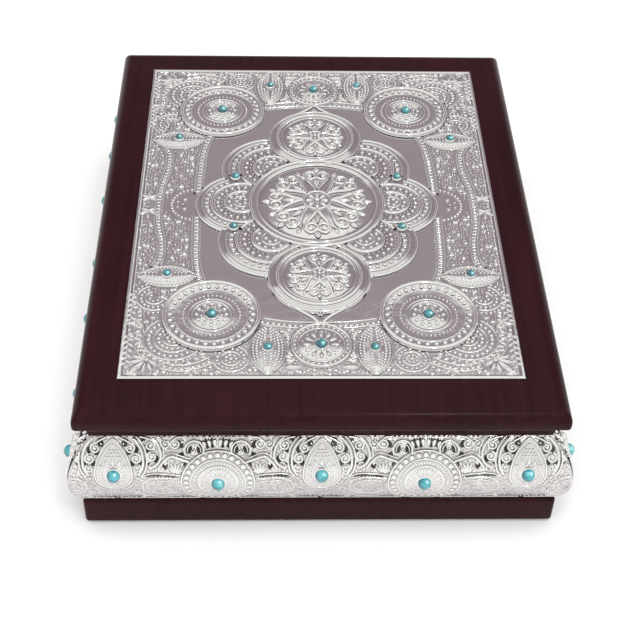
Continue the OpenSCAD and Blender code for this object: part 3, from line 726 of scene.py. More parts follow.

# The tone column is low at the foot of each step: partly tarnish, partly painted shade.
roundel_form = [(0, 1.25, 0.8), (2.9, 1.2, 0.5), (3.6, 0.95, 0.7), (8.2, 0.55, 0.78), (8.8, 0.28, 0.5),
                (9.3, 0.25, 0.7), (13.0, 0.25, 0.8), (16.2, 0.25, 0.8), (16.7, 0.28, 0.6), (17.4, 0.45, 0.8),
                (20.4, 1.0, 0.8), (22.2, 0.95, 0.8), (22.9, -0.1, 0.2)]
medal_form = [(0, 3.2, 0.82), (5, 3.15, 0.82), (10, 2.98, 0.82), (15, 2.69, 0.82), (20, 2.29, 0.82),
              (24, 1.88, 0.82), (27, 1.55, 0.8), (28.6, 1.42, 0.6), (29.4, 1.5, 0.6), (30.6, 1.9, 0.8),
              (32.4, 1.95, 0.8), (33.2, 2.0, 0.7), (33.9, 1.9, 0.8), (34.5, 0.6, 0.3), (34.9, 0.2, 0.2)]
small_form = [(0, 2.7, 0.8), (4, 2.62, 0.8), (8, 2.38, 0.8), (12, 1.98, 0.8), (14.5, 1.66, 0.8),
              (16.3, 1.42, 0.6), (17.0, 1.45, 0.6), (18.2, 1.65, 0.8), (19.8, 1.7, 0.7), (20.5, 1.6, 0.8),
              (21.0, 1.35, 0.5), (23.9, 0.95, 0.85), (24.6, -0.1, 0.2)]
petal_form = [(0, 2.15, 0.85), (8.6, 1.95, 0.8), (9.4, 1.6, 0.4), (16.2, 1.45, 0.8), (17.2, 1.25, 0.4),
              (21.4, 0.95, 0.8), (22.4, 0.8, 0.5), (25.3, 0.4, 0.9), (26.2, -0.1, 0.2)]
side_form = [(r * SIDE_R / PETAL_R, h, tone) for r, h, tone in petal_form]
ring_form = [(0, 1.25, 0.9), (2.9, 1.2, 0.5), (3.5, 0.95, 0.7), (9.4, 0.7, 0.85), (10.4, 0.5, 0.4),
             (12.2, 0.5, 0.6), (13.4, 0.6, 0.8), (14.2, -0.1, 0.2)]
print("medallion", medal_form[0][1], "mm high and", MEDAL_R, "mm in radius")


# %% Spin a profile into a disc
def spun(profile, steps):
    rows = np.array(profile)
    mesh = bpy.data.meshes.new("profile")
    edges = [(i, i + 1) for i in range(len(rows) - 1)]
    mesh.from_pydata([(r, 0, h) for r, h, _ in rows], edges, [])
    put_in_scene("profile", mesh)
    bpy.ops.object.mode_set(mode="EDIT")
    bpy.ops.mesh.select_all(action="SELECT")
    bpy.ops.mesh.spin(steps=steps, angle=2 * math.pi, center=(0, 0, 0), axis=(0, 0, 1))
    bpy.ops.mesh.select_all(action="SELECT")
    bpy.ops.mesh.remove_doubles(threshold=0.0005)
    bpy.ops.mesh.normals_make_consistent(inside=False)
    bpy.ops.object.mode_set(mode="OBJECT")
    points, faces, _ = lift_punch()
    tones = np.interp(np.hypot(points[:, 0], points[:, 1]), rows[:, 0], rows[:, 2])
    first = points[faces[0][0]]
    if np.cross(first[1] - first[0], first[2] - first[0])[2] < 0:
        faces = [face[:, ::-1] for face in faces]
    return points, faces, tones


# %% [markdown]
# The ground height.
# Ornament has to know how high the sheet is below it. The plate has two mirror lines, so the height is
# worked out in one quarter from the distance to each middle. Boats and almonds are pointed ovals, two
# circle arcs that meet in a point at each end.

# %% Ground height at any spot
DISCS = [(PETAL_AT, petal_form), (SIDE_AT, side_form), (ROUNDEL_AT, roundel_form), (RING_AT, ring_form)]
MEDALLIONS = [(SMALL_AT, small_form, 24.2), ((0, 0), medal_form, 34.4)]
OVALS = [(BOAT_AT, 15.0, 28.0, True), (ALMOND_AT, 16.5, 31.0, False)]
OVAL_H = 1.5


def oval_half(t, wide, long):
    r = (wide ** 2 + long ** 2) / (4 * wide)
    return np.sqrt(np.maximum(r * r - t * t, 0)) - (r - wide / 2)


def across_and_along(x, y, at, lying):
    return (y - at[1], x - at[0]) if lying else (x - at[0], y - at[1])


def oval_height(x, y, at, wide, long, lying):
    k, t = across_and_along(x, y, at, lying)
    half = np.maximum(oval_half(t, wide, long), 1e-3)
    inside = (np.abs(k) < half) & (np.abs(t) < long / 2)
    dome = OVAL_H * np.maximum(1 - (np.abs(k) / half) ** 2.4, 0) ** 0.6
    return np.where(inside, dome * np.minimum(1, half / 3) ** 0.5, 0.0)


def level(x, y):
    x, y = np.abs(x), np.abs(y)
    high = np.zeros(np.shape(x))
    for at, form in DISCS:
        radii, heights, _ = np.array(form).T
        for sx in (1, -1):
            far = np.hypot(x - sx * at[0], y - at[1])
            high = np.maximum(high, np.interp(far, radii, heights, right=0.0))
    for at, wide, long, lying in OVALS:
        high = np.maximum(high, oval_height(x, y, at, wide, long, lying))
    for at, form, rim in MEDALLIONS:
        far = np.hypot(x - at[0], y - at[1])
        high = np.where(far < rim, np.interp(far, *np.array(form).T[:2]), high)
    return high


print("ground over a roundel", round(float(level(*ROUNDEL_AT)), 2), "mm")


# %% Discs of the plate
FINE_GAP = 1.1


def finer(form):
    radii, heights, tones = np.array(form).T
    more = np.unique(np.concatenate([radii, np.arange(0, radii[-1], FINE_GAP)]))
    return list(zip(more, np.interp(more, radii, heights), np.interp(more, radii, tones)))


def under_medallions(points):
    x, y, z = points.T
    for at, form, rim in MEDALLIONS:
        far = np.hypot(x - at[0], np.abs(y) - at[1])
        cover = np.interp(far, *np.array(form).T[:2]) - 0.45
        z = np.where(far < rim - 0.8, np.minimum(z, cover), z)
    return np.stack([x, y, z], 1)


def add_discs(discs, mirrors, tucked=False):
    drawn = Relief()
    for at, profile, steps in discs:
        strike(drawn, spun(profile, steps), [(*at, 0, 1, 1, 1, 0)])
    if tucked:
        drawn.points = [under_medallions(points) for points in drawn.points]
    forms.mirror(drawn, *mirrors)


forms = Relief()
add_discs([(PETAL_AT, finer(petal_form), 96)], ALL_FOUR, tucked=True)
add_discs([(ROUNDEL_AT, roundel_form, 96)], ALL_FOUR)
add_discs([(SMALL_AT, small_form, 80), (RING_AT, ring_form, 80)], FRONT_BACK)
add_discs([(SIDE_AT, finer(side_form), 90)], LEFT_RIGHT, tucked=True)
add_discs([((0, 0), medal_form, 120)], [(1, 1)])
print("disc points", forms.count)


# %% [markdown]
# Boats and almonds.
# Eight pointed ovals carry stones: four lie across the border like boats, four stand at the short edges.
# They are domes over a pointed outline, so a grid is laid over the oval and each point is lifted to the
# height that the outline gives there.

# %% Domed ovals and stone seats
OVAL_ROWS = 25
OVAL_COLS = 13


def grid_faces(rows, cols):
    here = (np.arange(rows - 1)[:, None] * cols + np.arange(cols - 1)[None]).ravel()
    return np.stack([here, here + 1, here + cols + 1, here + cols], 1)


def on_oval(at, k, t, lying):
    return (at[0] + t, at[1] + k) if lying else (at[0] + k, at[1] + t)


def domed_oval(at, wide, long, lying):
    k = np.linspace(-1, 1, OVAL_COLS)
    t = np.sin(np.linspace(-math.pi / 2, math.pi / 2, OVAL_ROWS)) * long / 2 * 0.999
    half = oval_half(t, wide, long)
    x, y = on_oval(at, k[None] * half[:, None], np.repeat(t[:, None], OVAL_COLS, 1), lying)
    z = oval_height(x, y, at, wide * 1.001, long * 1.001, lying)
    z[:, [0, -1]] = -0.1
    z[[0, -1]] = -0.1
    points = np.stack([x, y, z], 2).reshape(-1, 3)
    faces = grid_faces(OVAL_ROWS, OVAL_COLS)
    tones = np.tile(0.9 - 0.6 * np.abs(k) ** 6, OVAL_ROWS)
    return points, [faces[:, ::-1] if lying else faces], tones


STONE_SEATS = [(BOAT_AT, 2.1, 2.2), (ALMOND_AT, 2.1, 2.2), (PETAL_STONE_AT, 2.1, 2.8)]
quarter = Relief()
for at, wide, long, lying in OVALS:
    quarter.add(*domed_oval(at, wide, long, lying))
for at, r, high in STONE_SEATS:
    seat = [(0, high - 0.02, 0.4), (r - 0.3, high - 0.02, 0.3), (r + 0.1, high + 0.2, 0.9),
            (r + 0.4, high - 0.1, 0.7), (r + 0.6, high - 0.8, 0.25), (r + 0.8, high - 2.0, 0.2)]
    strike(quarter, spun(seat, 32), [(*at, 0, 1, 1, 1, 0)])
forms.mirror(quarter, *ALL_FOUR)


def plate_piece(name, relief, crease=None):
    make_piece(name, relief, flat_place, silver_plate, "lid", "lid_plate", crease)


plate_piece("plate_forms", forms, 38)

# %% [markdown]
# The sheet.
# The ground of the plate is thin sheet with a plain raised edge and a narrow flange. It is a rectangle
# extruded up and inset, so the edge has real steps that catch the light.

# %% Sheet with a raised edge
def edge_ring(steps):
    points, faces, tones = [], [], []
    for inset, high, tone in steps:
        x, y = PLATE_X - inset, PLATE_Y - inset
        points += [(-x, -y, high), (x, -y, high), (x, y, high), (-x, y, high)]
        tones += [tone] * 4
    for i in range(len(steps) - 1):
        a, b = 4 * i, 4 * (i + 1)
        faces += [(a + j, a + (j + 1) % 4, b + (j + 1) % 4, b + j) for j in range(4)]
    last = 4 * (len(steps) - 1)
    faces.append((last, last + 1, last + 2, last + 3))
    return np.array(points, float), [np.array(faces)], np.array(tones)


sheet = Relief()
sheet.add(*edge_ring([(0, -0.98, 0.7), (0, 0.25, 0.8), (0.35, 0.6, 1.0), (1.1, 0.65, 1.0), (1.5, 0.3, 0.6),
                      (1.9, 0.02, 0.25), (3.0, 0.0, 0.86)]))
plate_piece("plate_sheet", sheet, 30)

# %% [markdown]
# Roundels.
# Each corner roundel is a set of rings: a bold rim, a slope of pearls, a plain field with one ring of fine
# dots, and a boss with bead rings round its stone. All of it is rings, so a loop over radii draws it.

# %% Rings of the corner roundels
rims = Relief()
beads = Relief()
leaves = Relief()


def ring_rows(at, r, count, size, high, start=0.0, a0=0.0, a1=360.0, lean=1.0, base=level):
    a = np.linspace(a0, a1, count, endpoint=a1 - a0 < 359.9) + start
    x = at[0] + r * np.cos(np.radians(a))
    y = at[1] + r * np.sin(np.radians(a))
    z = base(x, y) if callable(base) else base
    return rows_of(x, y, z, size, size * lean, high, a - 90)


def ring_ridges(relief, at, rings):
    for r, half, high in rings:
        ridge(relief, circle(*at, r), half, high, level, closed=True)


quarter_rims, quarter_beads, quarter_leaves = Relief(), Relief(), Relief()
ring_ridges(quarter_rims, ROUNDEL_AT, ((21.6, 1.0, 0.95), (16.9, 0.45, 0.5), (10.4, 0.5, 0.55),
                                       (8.8, 0.5, 0.6), (3.35, 0.5, 0.45)))
strike(quarter_beads, bead, ring_rows(ROUNDEL_AT, 18.9, 30, 1.15, 1.05, lean=1.2))
strike(quarter_beads, bead, ring_rows(ROUNDEL_AT, 17.6, 30, 0.5, 0.55, start=6, lean=1.3))
strike(quarter_beads, dot, ring_rows(ROUNDEL_AT, 13.0, 40, 0.62, 0.65))
strike(quarter_beads, bead, ring_rows(ROUNDEL_AT, 6.7, 12, 1.05, 0.95))
strike(quarter_beads, bead, ring_rows(ROUNDEL_AT, 4.7, 9, 0.75, 0.7, start=12))
print("roundel", quarter_rims.count, "points of rims,", quarter_beads.count, "of beads")

# %% [markdown]
# Petals.
# Six petals stand behind the medallions. Each is a stepped disc with a rim, a row of square studs, a row of
# beads and a small cluster in the middle, but only the sector that the medallions leave free shows. A test
# for free ground drops every strike that would end up under a higher form.

# %% Rings of the petals, kept where they show
def free_petal(x, y, diagonal):
    ok = np.hypot(x, y) > MEDAL_R + 1.0
    ok &= np.hypot(x, np.abs(y) - SMALL_AT[1]) > SMALL_CLEAR
    to_diagonal = np.hypot(np.abs(x) - PETAL_AT[0], np.abs(y) - PETAL_AT[1]) / PETAL_R
    to_side = np.hypot(np.abs(x) - SIDE_AT[0], y - SIDE_AT[1]) / SIDE_R
    own, other = (to_diagonal, to_side) if diagonal else (to_side, to_diagonal)
    ok &= (own < other + 0.004) | (other > 1.01)
    ok &= np.hypot(np.abs(x) - PETAL_STONE_AT[0], np.abs(y) - PETAL_STONE_AT[1]) > 3.4
    return ok


def petal_rings(at, scale, diagonal, rim_relief, bead_relief):
    for r, half, high in ((25.1, 0.85, 0.85), (22.0, 0.55, 0.6), (17.0, 0.85, 0.85), (9.2, 0.8, 0.85),
                          (4.6, 0.5, 0.5)):
        path = arc(*at, r * scale, -180, 180, 0.8)
        for run in runs(path, free_petal(path[:, 0], path[:, 1], diagonal)):
            ridge(rim_relief, run, half, high, level)
    for punch, r, count, size, high in ((stud, 19.5, 34, 1.0, 0.85), (bead, 13.2, 22, 0.98, 0.9),
                                        (dot, 11.0, 26, 0.5, 0.55), (dot, 15.2, 40, 0.45, 0.5),
                                        (bead, 6.9, 11, 0.98, 0.9), (bead, 2.6, 5, 1.0, 0.85)):
        rows = ring_rows(at, r * scale, count, size, high)
        strike(bead_relief, punch, rows[free_petal(rows[:, 0], rows[:, 1], diagonal)])


petal_rings(PETAL_AT, 1.0, True, quarter_rims, quarter_beads)
side_rims, side_beads = Relief(), Relief()
petal_rings(SIDE_AT, SIDE_R / PETAL_R, False, side_rims, side_beads)
rims.mirror(side_rims, *LEFT_RIGHT)
beads.mirror(side_beads, *LEFT_RIGHT)
print("side petal", side_rims.count, "points of rims,", side_beads.count, "of beads")

# %% [markdown]
# Medallions.
# The middle and the two smaller medallions have a bold double rim and a slightly domed field. The field
# holds a scrolling plant: a rosette, heart-shaped stems that end in curls, and leaves between. A stem is a
# smooth curve that runs into a spiral; one sector is drawn and turned round the middle.

# %% Rims of the medallions
ring_ridges(rims, (0, 0), ((33.1, 0.9, 0.95), (30.0, 0.65, 0.75)))
upper_rims, upper_beads, upper_leaves = Relief(), Relief(), Relief()
ring_ridges(upper_rims, SMALL_AT, ((19.6, 0.9, 0.95), (17.5, 0.5, 0.5), (23.5, 0.7, 0.65)))
tip = curve([(13.0, 73.6), (8.0, 77.4), (3.4, 81.2), (0.0, 85.6)], 0.5)
for side in (1, -1):
    ridge(upper_rims, tip * (side, 1), 0.85, 0.95, 0.3)
    ridge(upper_rims, curve([(8.6 * side, 72.6), (4.0 * side, 76.0), (0, 80.2)], 0.5), 0.45, 0.5, 0.5)
strike(upper_leaves, leaf, [(0, 74.6, 0.4, 2.6, 5.4, 0.9, 0)])
strike(upper_beads, bead, [(0, 84.6, 0.4, 1.1, 1.1, 1.0, 0), (2.1, 77.6, 0.4, 0.6, 0.6, 0.7, 0),
                           (-2.1, 77.6, 0.4, 0.6, 0.6, 0.7, 0)])
print("small medallion", upper_rims.count, "points of rims")


# %% Scrolling plant for a medallion
def polar(at, r, a):
    return at[0] + r * math.cos(math.radians(a)), at[1] + r * math.sin(math.radians(a))


def turned(at, points, a):
    c, s = math.cos(math.radians(a)), math.sin(math.radians(a))
    x, y = np.asarray(points, float).T
    return np.stack([at[0] + x * c - y * s, at[1] + x * s + y * c], 1)


def set_on_plate(relief, punch, spot, wide, long, high, turn=0.0):
    strike(relief, punch, [(*spot, level(*spot), wide, long, high, turn)])


def scrolling_plant(at, size, folds, lines, foliage, dots, half):
    sector = 2 * math.pi / folds
    for k in range(folds):
        a = 360 / folds * k + 90
        for side in (1, -1):
            swing = [side * sector * f for f in (0.0, 0.20, 0.37, 0.36, 0.22)]
            reach = [size * f for f in (0.25, 0.40, 0.60, 0.76, 0.83)]
            stem = [(r * math.cos(w), r * math.sin(w)) for r, w in zip(reach, swing)]
            eye = (size * 0.70 * math.cos(swing[4] * 0.95), size * 0.70 * math.sin(swing[4] * 0.95))
            path = turned(at, scroll(stem, np.array(eye), -side * 1.25), a)
            ridge(lines, path, half, half * 1.25, level, start=1.0, end=0.75)
            set_on_plate(dots, bead, turned(at, [eye], a)[0], half * 1.05, half * 1.05, half * 1.2)
            lean = a - 90 + side * (math.degrees(swing[2]) + 28)
            fork = turned(at, [stem[2]], a)[0]
            set_on_plate(foliage, leaf, fork, size * 0.085, size * 0.20, half * 1.1, lean)
        between = a + 180 / folds
        for punch, far, heading, wide, long, high, turn in (
                (leaf, 0.80, a, 0.12, 0.16, 1.4, a - 90), (leaf, 0.36, a, 0.10, 0.24, 1.2, a - 90),
                (leaf, 0.90, between, 0.11, 0.19, 1.2, between + 90),
                (petal, 0.055, a, 0.085, 0.15, 1.2, a - 90)):
            spot = polar(at, size * far, heading)
            set_on_plate(foliage, punch, spot, size * wide, size * long, half * high, turn)
    ridge(lines, circle(*at, size * 0.235, 0.5), half * 0.6, half * 0.8, level, closed=True)
    set_on_plate(dots, bead, at, size * 0.05, size * 0.05, half * 1.4)


stems = Relief()
scrolling_plant((0, 0), 28.8, 8, stems, leaves, beads, 1.1)
upper_stems = Relief()
scrolling_plant(SMALL_AT, 16.8, 6, upper_stems, upper_leaves, upper_beads, 0.92)
stems.mirror(upper_stems, *FRONT_BACK)
plate_piece("plate_stems", stems)

# %% [markdown]
# The rings at the short edges.
# Each ring has two ridges with beads between, and petals that run out from its stone.

# %% Rings with beads and petals
ring_ridges(upper_rims, RING_AT, ((13.1, 0.75, 0.75), (10.5, 0.45, 0.5), (3.3, 0.4, 0.45)))
strike(upper_beads, bead, ring_rows(RING_AT, 11.8, 30, 0.72, 0.8))
rows = ring_rows(RING_AT, 4.0, 12, 2.0, 0.75)
rows[:, 4] = 4.4
strike(upper_leaves, petal, rows)
strike(upper_beads, dot, ring_rows(RING_AT, 8.6, 12, 0.5, 0.6, start=15))
rims.mirror(upper_rims, *FRONT_BACK)
beads.mirror(upper_beads, *FRONT_BACK)
leaves.mirror(upper_leaves, *FRONT_BACK)
print("small medallion and ring", upper_rims.count, "points of rims")

# %% [markdown]
# Ladders and borders.
# The plain field is framed by ladders: two ridges with square studs between. Outside them the border is
# crowded with fans, leaf sprays and arcs of beads. The quarter is drawn once and mirrored.

# %% Ladder frames
EDGE_ROOM = 2.6


def clear_of_discs(x, y):
    ok = np.hypot(x - ROUNDEL_AT[0], y - ROUNDEL_AT[1]) > ROUNDEL_R + 0.8
    ok &= np.hypot(x - SIDE_AT[0], y) > SIDE_R + 0.6
    ok &= np.hypot(x - RING_AT[0], y - RING_AT[1]) > RING_CLEAR
    ok &= np.hypot(x, y - SMALL_AT[1]) > SMALL_CLEAR
    for at, wide, long, lying in OVALS:
        k, t = across_and_along(x, y, at, lying)
        ok &= (np.abs(k) > oval_half(t, wide, long) + 0.5) | (np.abs(t) > long / 2)
    ok &= (np.abs(x) < PLATE_X - EDGE_ROOM) & (np.abs(y) < PLATE_Y - EDGE_ROOM)
    return ok


def clear_ridges(path, half, high):
    for run in runs(path, clear_of_discs(path[:, 0], path[:, 1])):
        ridge(quarter_rims, run, half, high, 0.0)


def clear_strikes(relief, punch, rows):
    strike(relief, punch, rows[clear_of_discs(rows[:, 0], rows[:, 1])])


def ladder(points, gap, stud_size):
    path = curve(points)
    for offset in (-gap / 2, gap / 2):
        clear_ridges(beside(path, offset), 0.48, 0.85)
    x, y, turn = along(path, stud_size * 3.2)
    clear_strikes(quarter_beads, stud, rows_of(x, y, 0, stud_size, gap * 0.31, 0.7, turn))


ladder([(59.4, 9.0), (59.0, 24.0), (58.4, 40.0), (56.6, 52.0), (53.6, 60.0)], 4.0, 0.8)
ladder([(0.0, 86.4), (14.0, 85.6), (26.0, 83.6), (30.0, 82.4)], 3.8, 0.8)
ladder([(78.6, 0.0), (78.0, 14.0), (75.6, 28.0), (75.4, 40.0), (77.6, 47.0)], 3.6, 0.75)
ladder([(82.4, 76.0), (81.6, 84.0), (81.8, 92.0), (81.0, 99.0), (78.0, 105.0)], 3.6, 0.75)
ladder([(70.0, 111.4), (62.0, 113.0), (54.0, 111.0), (48.6, 108.0)], 3.6, 0.75)
print("quarter with ladders", quarter_rims.count, "points of rims")


# %% Fans and arcs of beads in the border
HALF_ROUND_AT = (60.4, 0.0)
ROSE_AT = (40.0, 107.0)


def bead_fan(at, radii, a0, a1, size):
    for i, r in enumerate(radii):
        path = arc(*at, r, a0, a1, 0.7)
        if i % 2:
            clear_ridges(path, 0.6, 0.7)
        else:
            x, y, _ = along(path, size * 2.75)
            clear_strikes(quarter_beads, bead, rows_of(x, y, 0, size, size, size * 1.05, 0))


bead_fan(FAN_AT, (2.5, 4.5, 6.5, 8.6, 11.0, 13.4), -100, 190, 0.95)
strike(quarter_beads, bead, [(*FAN_AT, 0, 1.3, 1.3, 1.1, 0)])
bead_fan(ROSE_AT, (2.3, 4.2, 6.0, 7.9), 0, 360, 0.8)
strike(quarter_beads, bead, [(*ROSE_AT, 0, 1.0, 1.0, 0.9, 0)])
bead_fan((76.0, 68.0), (2.3, 4.2, 6.2, 8.2, 9.9), -70, 160, 0.8)
bead_fan(HALF_ROUND_AT, (11.8,), 0, 84, 0.78)
strike(quarter_beads, bead, [(65.6, 3.6, 0, 0.95, 0.95, 0.95, 0), (66.6, 0.0, 0, 1.05, 1.05, 1.0, 0),
                             (69.2, 2.0, 0, 0.65, 0.65, 0.65, 0)])
print("quarter with fans", quarter_beads.count, "points of beads")


# %% Leaf sprays
LEAF_WIDE = 0.42
LEAF_HIGH = 0.95


def spray(at, heading, count, length, fan):
    for k in range(count):
        f = (k - (count - 1) / 2) / max(1, (count - 1) / 2)
        grow = length * (1 - 0.32 * abs(f))
        a = heading + f * fan / 2
        strike(quarter_leaves, leaf, [(*at, 0.05, grow * LEAF_WIDE, grow, LEAF_HIGH, a - 90)])
    strike(quarter_beads, bead, [(*at, 0, length * 0.14, length * 0.14, 0.9, 0)])


spray((77.0, 107.5), 45, 7, 10.0, 200)
spray((84.5, 116.0), 225, 3, 6.5, 100)
spray((82.0, 84.0), 10, 5, 6.5, 220)
spray((57.0, 113.5), 90, 5, 5.5, 200)
spray((83.2, 5.0), 90, 5, 6.5, 230)
strike(quarter_leaves, leaf, [(16.4, 112.0, 0.02, 4.0, 8.4, 1.1, 90)])
print("quarter with sprays", quarter_leaves.count, "points of leaves")


# %% Running leaves along the edges
def leaf_run(path, gap, long):
    x, y, turn = along(path, gap)
    side = np.where(np.arange(len(x)) % 2, 1, -1)
    lean = turn - 90 + 48 * side
    clear_strikes(quarter_leaves, leaf, rows_of(x, y, 0.02, 0.5 * long, long, LEAF_HIGH, lean))


short_edge = curve([(2.0, 117.6), (20.0, 116.8), (36.0, 117.8), (52.0, 116.6), (68.0, 117.8), (85.0, 116.8)])
long_edge = curve([(86.4, 64.0), (85.6, 76.0), (86.6, 88.0), (85.8, 100.0), (86.4, 112.0)])
leaf_run(short_edge, 2.1, 4.4)
leaf_run(long_edge, 1.7, 3.4)
leaf_run(arc(*FAN_AT, 15.6, -60, 150), 1.8, 3.2)
print("quarter with edge leaves", quarter_leaves.count, "points of leaves")


# %% Scale rows on boats and almonds
def oval_scales(at, wide, long, lying):
    for row in range(1, 5):
        size = (0.52 if lying else 0.62) + 0.10 * (row % 2)
        for t in np.arange(-long * 0.46, long * 0.46, 1.7) + 0.8 * (row % 2):
            half = float(oval_half(t, wide, long)) * (row / 5)
            for side in (1, -1):
                x, y = on_oval(at, side * half, t, lying)
                if math.hypot(x - at[0], y - at[1]) >= 3.8 and half >= 0.8:
                    strike(quarter_beads, bead, [(x, y, float(level(x, y)) - 0.12, size, size, size, 0)])


def oval_edges(at, wide, long, lying):
    t = np.linspace(-long / 2 * 0.985, long / 2 * 0.985, 40)
    half, high = (0.35, 0.28) if lying else (0.5, 0.6)
    for side in (1, -1):
        edge = side * (oval_half(t, wide, long) - 0.25)
        ridge(quarter_rims, np.stack(on_oval(at, edge, t, lying), 1), half, high, 0.15)


for oval in OVALS:
    oval_scales(*oval)
    oval_edges(*oval)
print("quarter with scales", quarter_beads.count, "points of beads")

# %% [markdown]
# The punched ground.
# The border's ground is filled with fine dots struck close together, with larger drops among them. At the
# short edges, past the plain field, most of the dots are struck bigger. A coarse map remembers where ornament
# already lies, so the dots keep to the free ground. The random numbers are seeded, so every run gives the
# same plate.

# %% Fine dots on free ground
CELL = 0.5
taken = np.zeros((int(PLATE_X / CELL) + 2, int(PLATE_Y / CELL) + 2), bool)


def mark(points, reach):
    keep = points[points[:, 2] > -0.05]
    for dx in np.arange(-reach, reach + 0.01, CELL):
        for dy in np.arange(-reach, reach + 0.01, CELL):
            i = np.clip(((keep[:, 0] + dx) / CELL).astype(int), 0, taken.shape[0] - 1)
            j = np.clip(((keep[:, 1] + dy) / CELL).astype(int), 0, taken.shape[1] - 1)
            taken[i, j] = True


for relief in (quarter_rims, quarter_beads, quarter_leaves):
    mark(np.concatenate(relief.points), 0.5)

FIELD_END = 84.0
GRAIN_GAP = 1.45
GRAIN_SHIFT = 0.55


def in_border(x, y):
    inside = clear_of_discs(x, y) & (level(x, y) < 0.02)
    field = (x < 57.0 + 2.2 * np.cos(y / 30)) & (y < FIELD_END)
    plain = np.hypot(x - HALF_ROUND_AT[0], y) < 14.6
    return inside & ~field & ~plain


rng = np.random.default_rng(7)
spots = [np.arange(0.6, end - 2.2, GRAIN_GAP) for end in (PLATE_X, PLATE_Y)]
gx, gy = np.meshgrid(*spots, indexing="ij")
gx = (gx + rng.uniform(-GRAIN_SHIFT, GRAIN_SHIFT, gx.shape)).ravel()
gy = (gy + rng.uniform(-GRAIN_SHIFT, GRAIN_SHIFT, gy.shape)).ravel()
ok = in_border(gx, gy) & ~taken[(gx / CELL).astype(int), (gy / CELL).astype(int)]
gx, gy = gx[ok], gy[ok]
size = rng.uniform(0.28, 0.44, len(gx))
lot = rng.random(len(gx))
size = np.where(lot < np.where(gy > FIELD_END, 0.85, 0.24), size * 1.65, size)
drops = lot < np.where(gy > FIELD_END, 0.34, 0.10)
rows = rows_of(gx, gy, 0, size, size, size * 1.1, rng.uniform(0, 90, len(gx)))
grain, quarter_grain = Relief(), Relief()
strike(quarter_grain, dot, rows[~drops])
rows[:, 3:6] *= (1.7, 2.0, 1.6)
strike(quarter_beads, bead, rows[drops])
grain.mirror(quarter_grain, *ALL_FOUR)
plate_piece("plate_grain", grain)

# %% Edge line of beads, then the finished ornament
edge_x, edge_y = PLATE_X - 2.9, PLATE_Y - 2.9
for path in ([(0.0, edge_y), (edge_x, edge_y)], [(edge_x, edge_y), (edge_x, 0.0)]):
    x, y, turn = along(np.array(path), 1.5)
    strike(quarter_beads, dot, rows_of(x, y, 0, 0.5, 0.5, 0.55, turn))
for name, whole, quarter in (("plate_rims", rims, quarter_rims), ("plate_beads", beads, quarter_beads),
                             ("plate_leaves", leaves, quarter_leaves)):
    whole.mirror(quarter, *ALL_FOUR)
    plate_piece(name, whole)

# %% [markdown]
# The silver bands.
# Four bands of pressed sheet wrap the cushion sides. It is easiest to draw them flat: u runs along the side,
# s runs up the curve from its widest line, and h stands off the surface. Only at the end is the drawing
# bent round the cushion and put on its side of the box. At the corners the bands meet in a mitre.

# %% Bend a flat drawing round one side
def up_the_curve(rise):
    return BULGE_R * math.asin((BASE_TOP + rise - BULGE_Z) / BULGE_R)


S_LOW = up_the_curve(0.05)
S_HIGH = up_the_curve(WALL_TOP - BASE_TOP - 0.05)
DROP_S = up_the_curve(22.6)
SHELL_S = up_the_curve(18.2)
PITCH = 45.6
END_SHELL = HALF_D - 14.0
SHELL_R = 16.1


def stand_out(s, h=0.0):
    return ARC_P + (BULGE_R + h) * np.cos(s / BULGE_R)


def bent(side):
    def place(points):
        u, s, h = points.T
        out = stand_out(s, h)
        z = BULGE_Z + (BULGE_R + h) * np.sin(s / BULGE_R)
        if side == "front":
            return np.stack([u, -(HALF_D + out), z], 1)
        if side == "back":
            return np.stack([-u, HALF_D + out, z], 1)
        if side == "right":
            return np.stack([HALF_W + out, u, z], 1)
        return np.stack([-(HALF_W + out), -u, z], 1)
    return place


print("band runs from", round(S_LOW, 1), "to", round(S_HIGH, 1), "mm along the curve")


# %% [markdown]
# One band as a drawing.
# A band is drawn by placing motifs one after another. The drawing object remembers where the motif stands
# and whether it is mirrored, and it drops whatever would cross the mitre, so the motifs themselves can be
# written as if they stood alone on an endless strip.

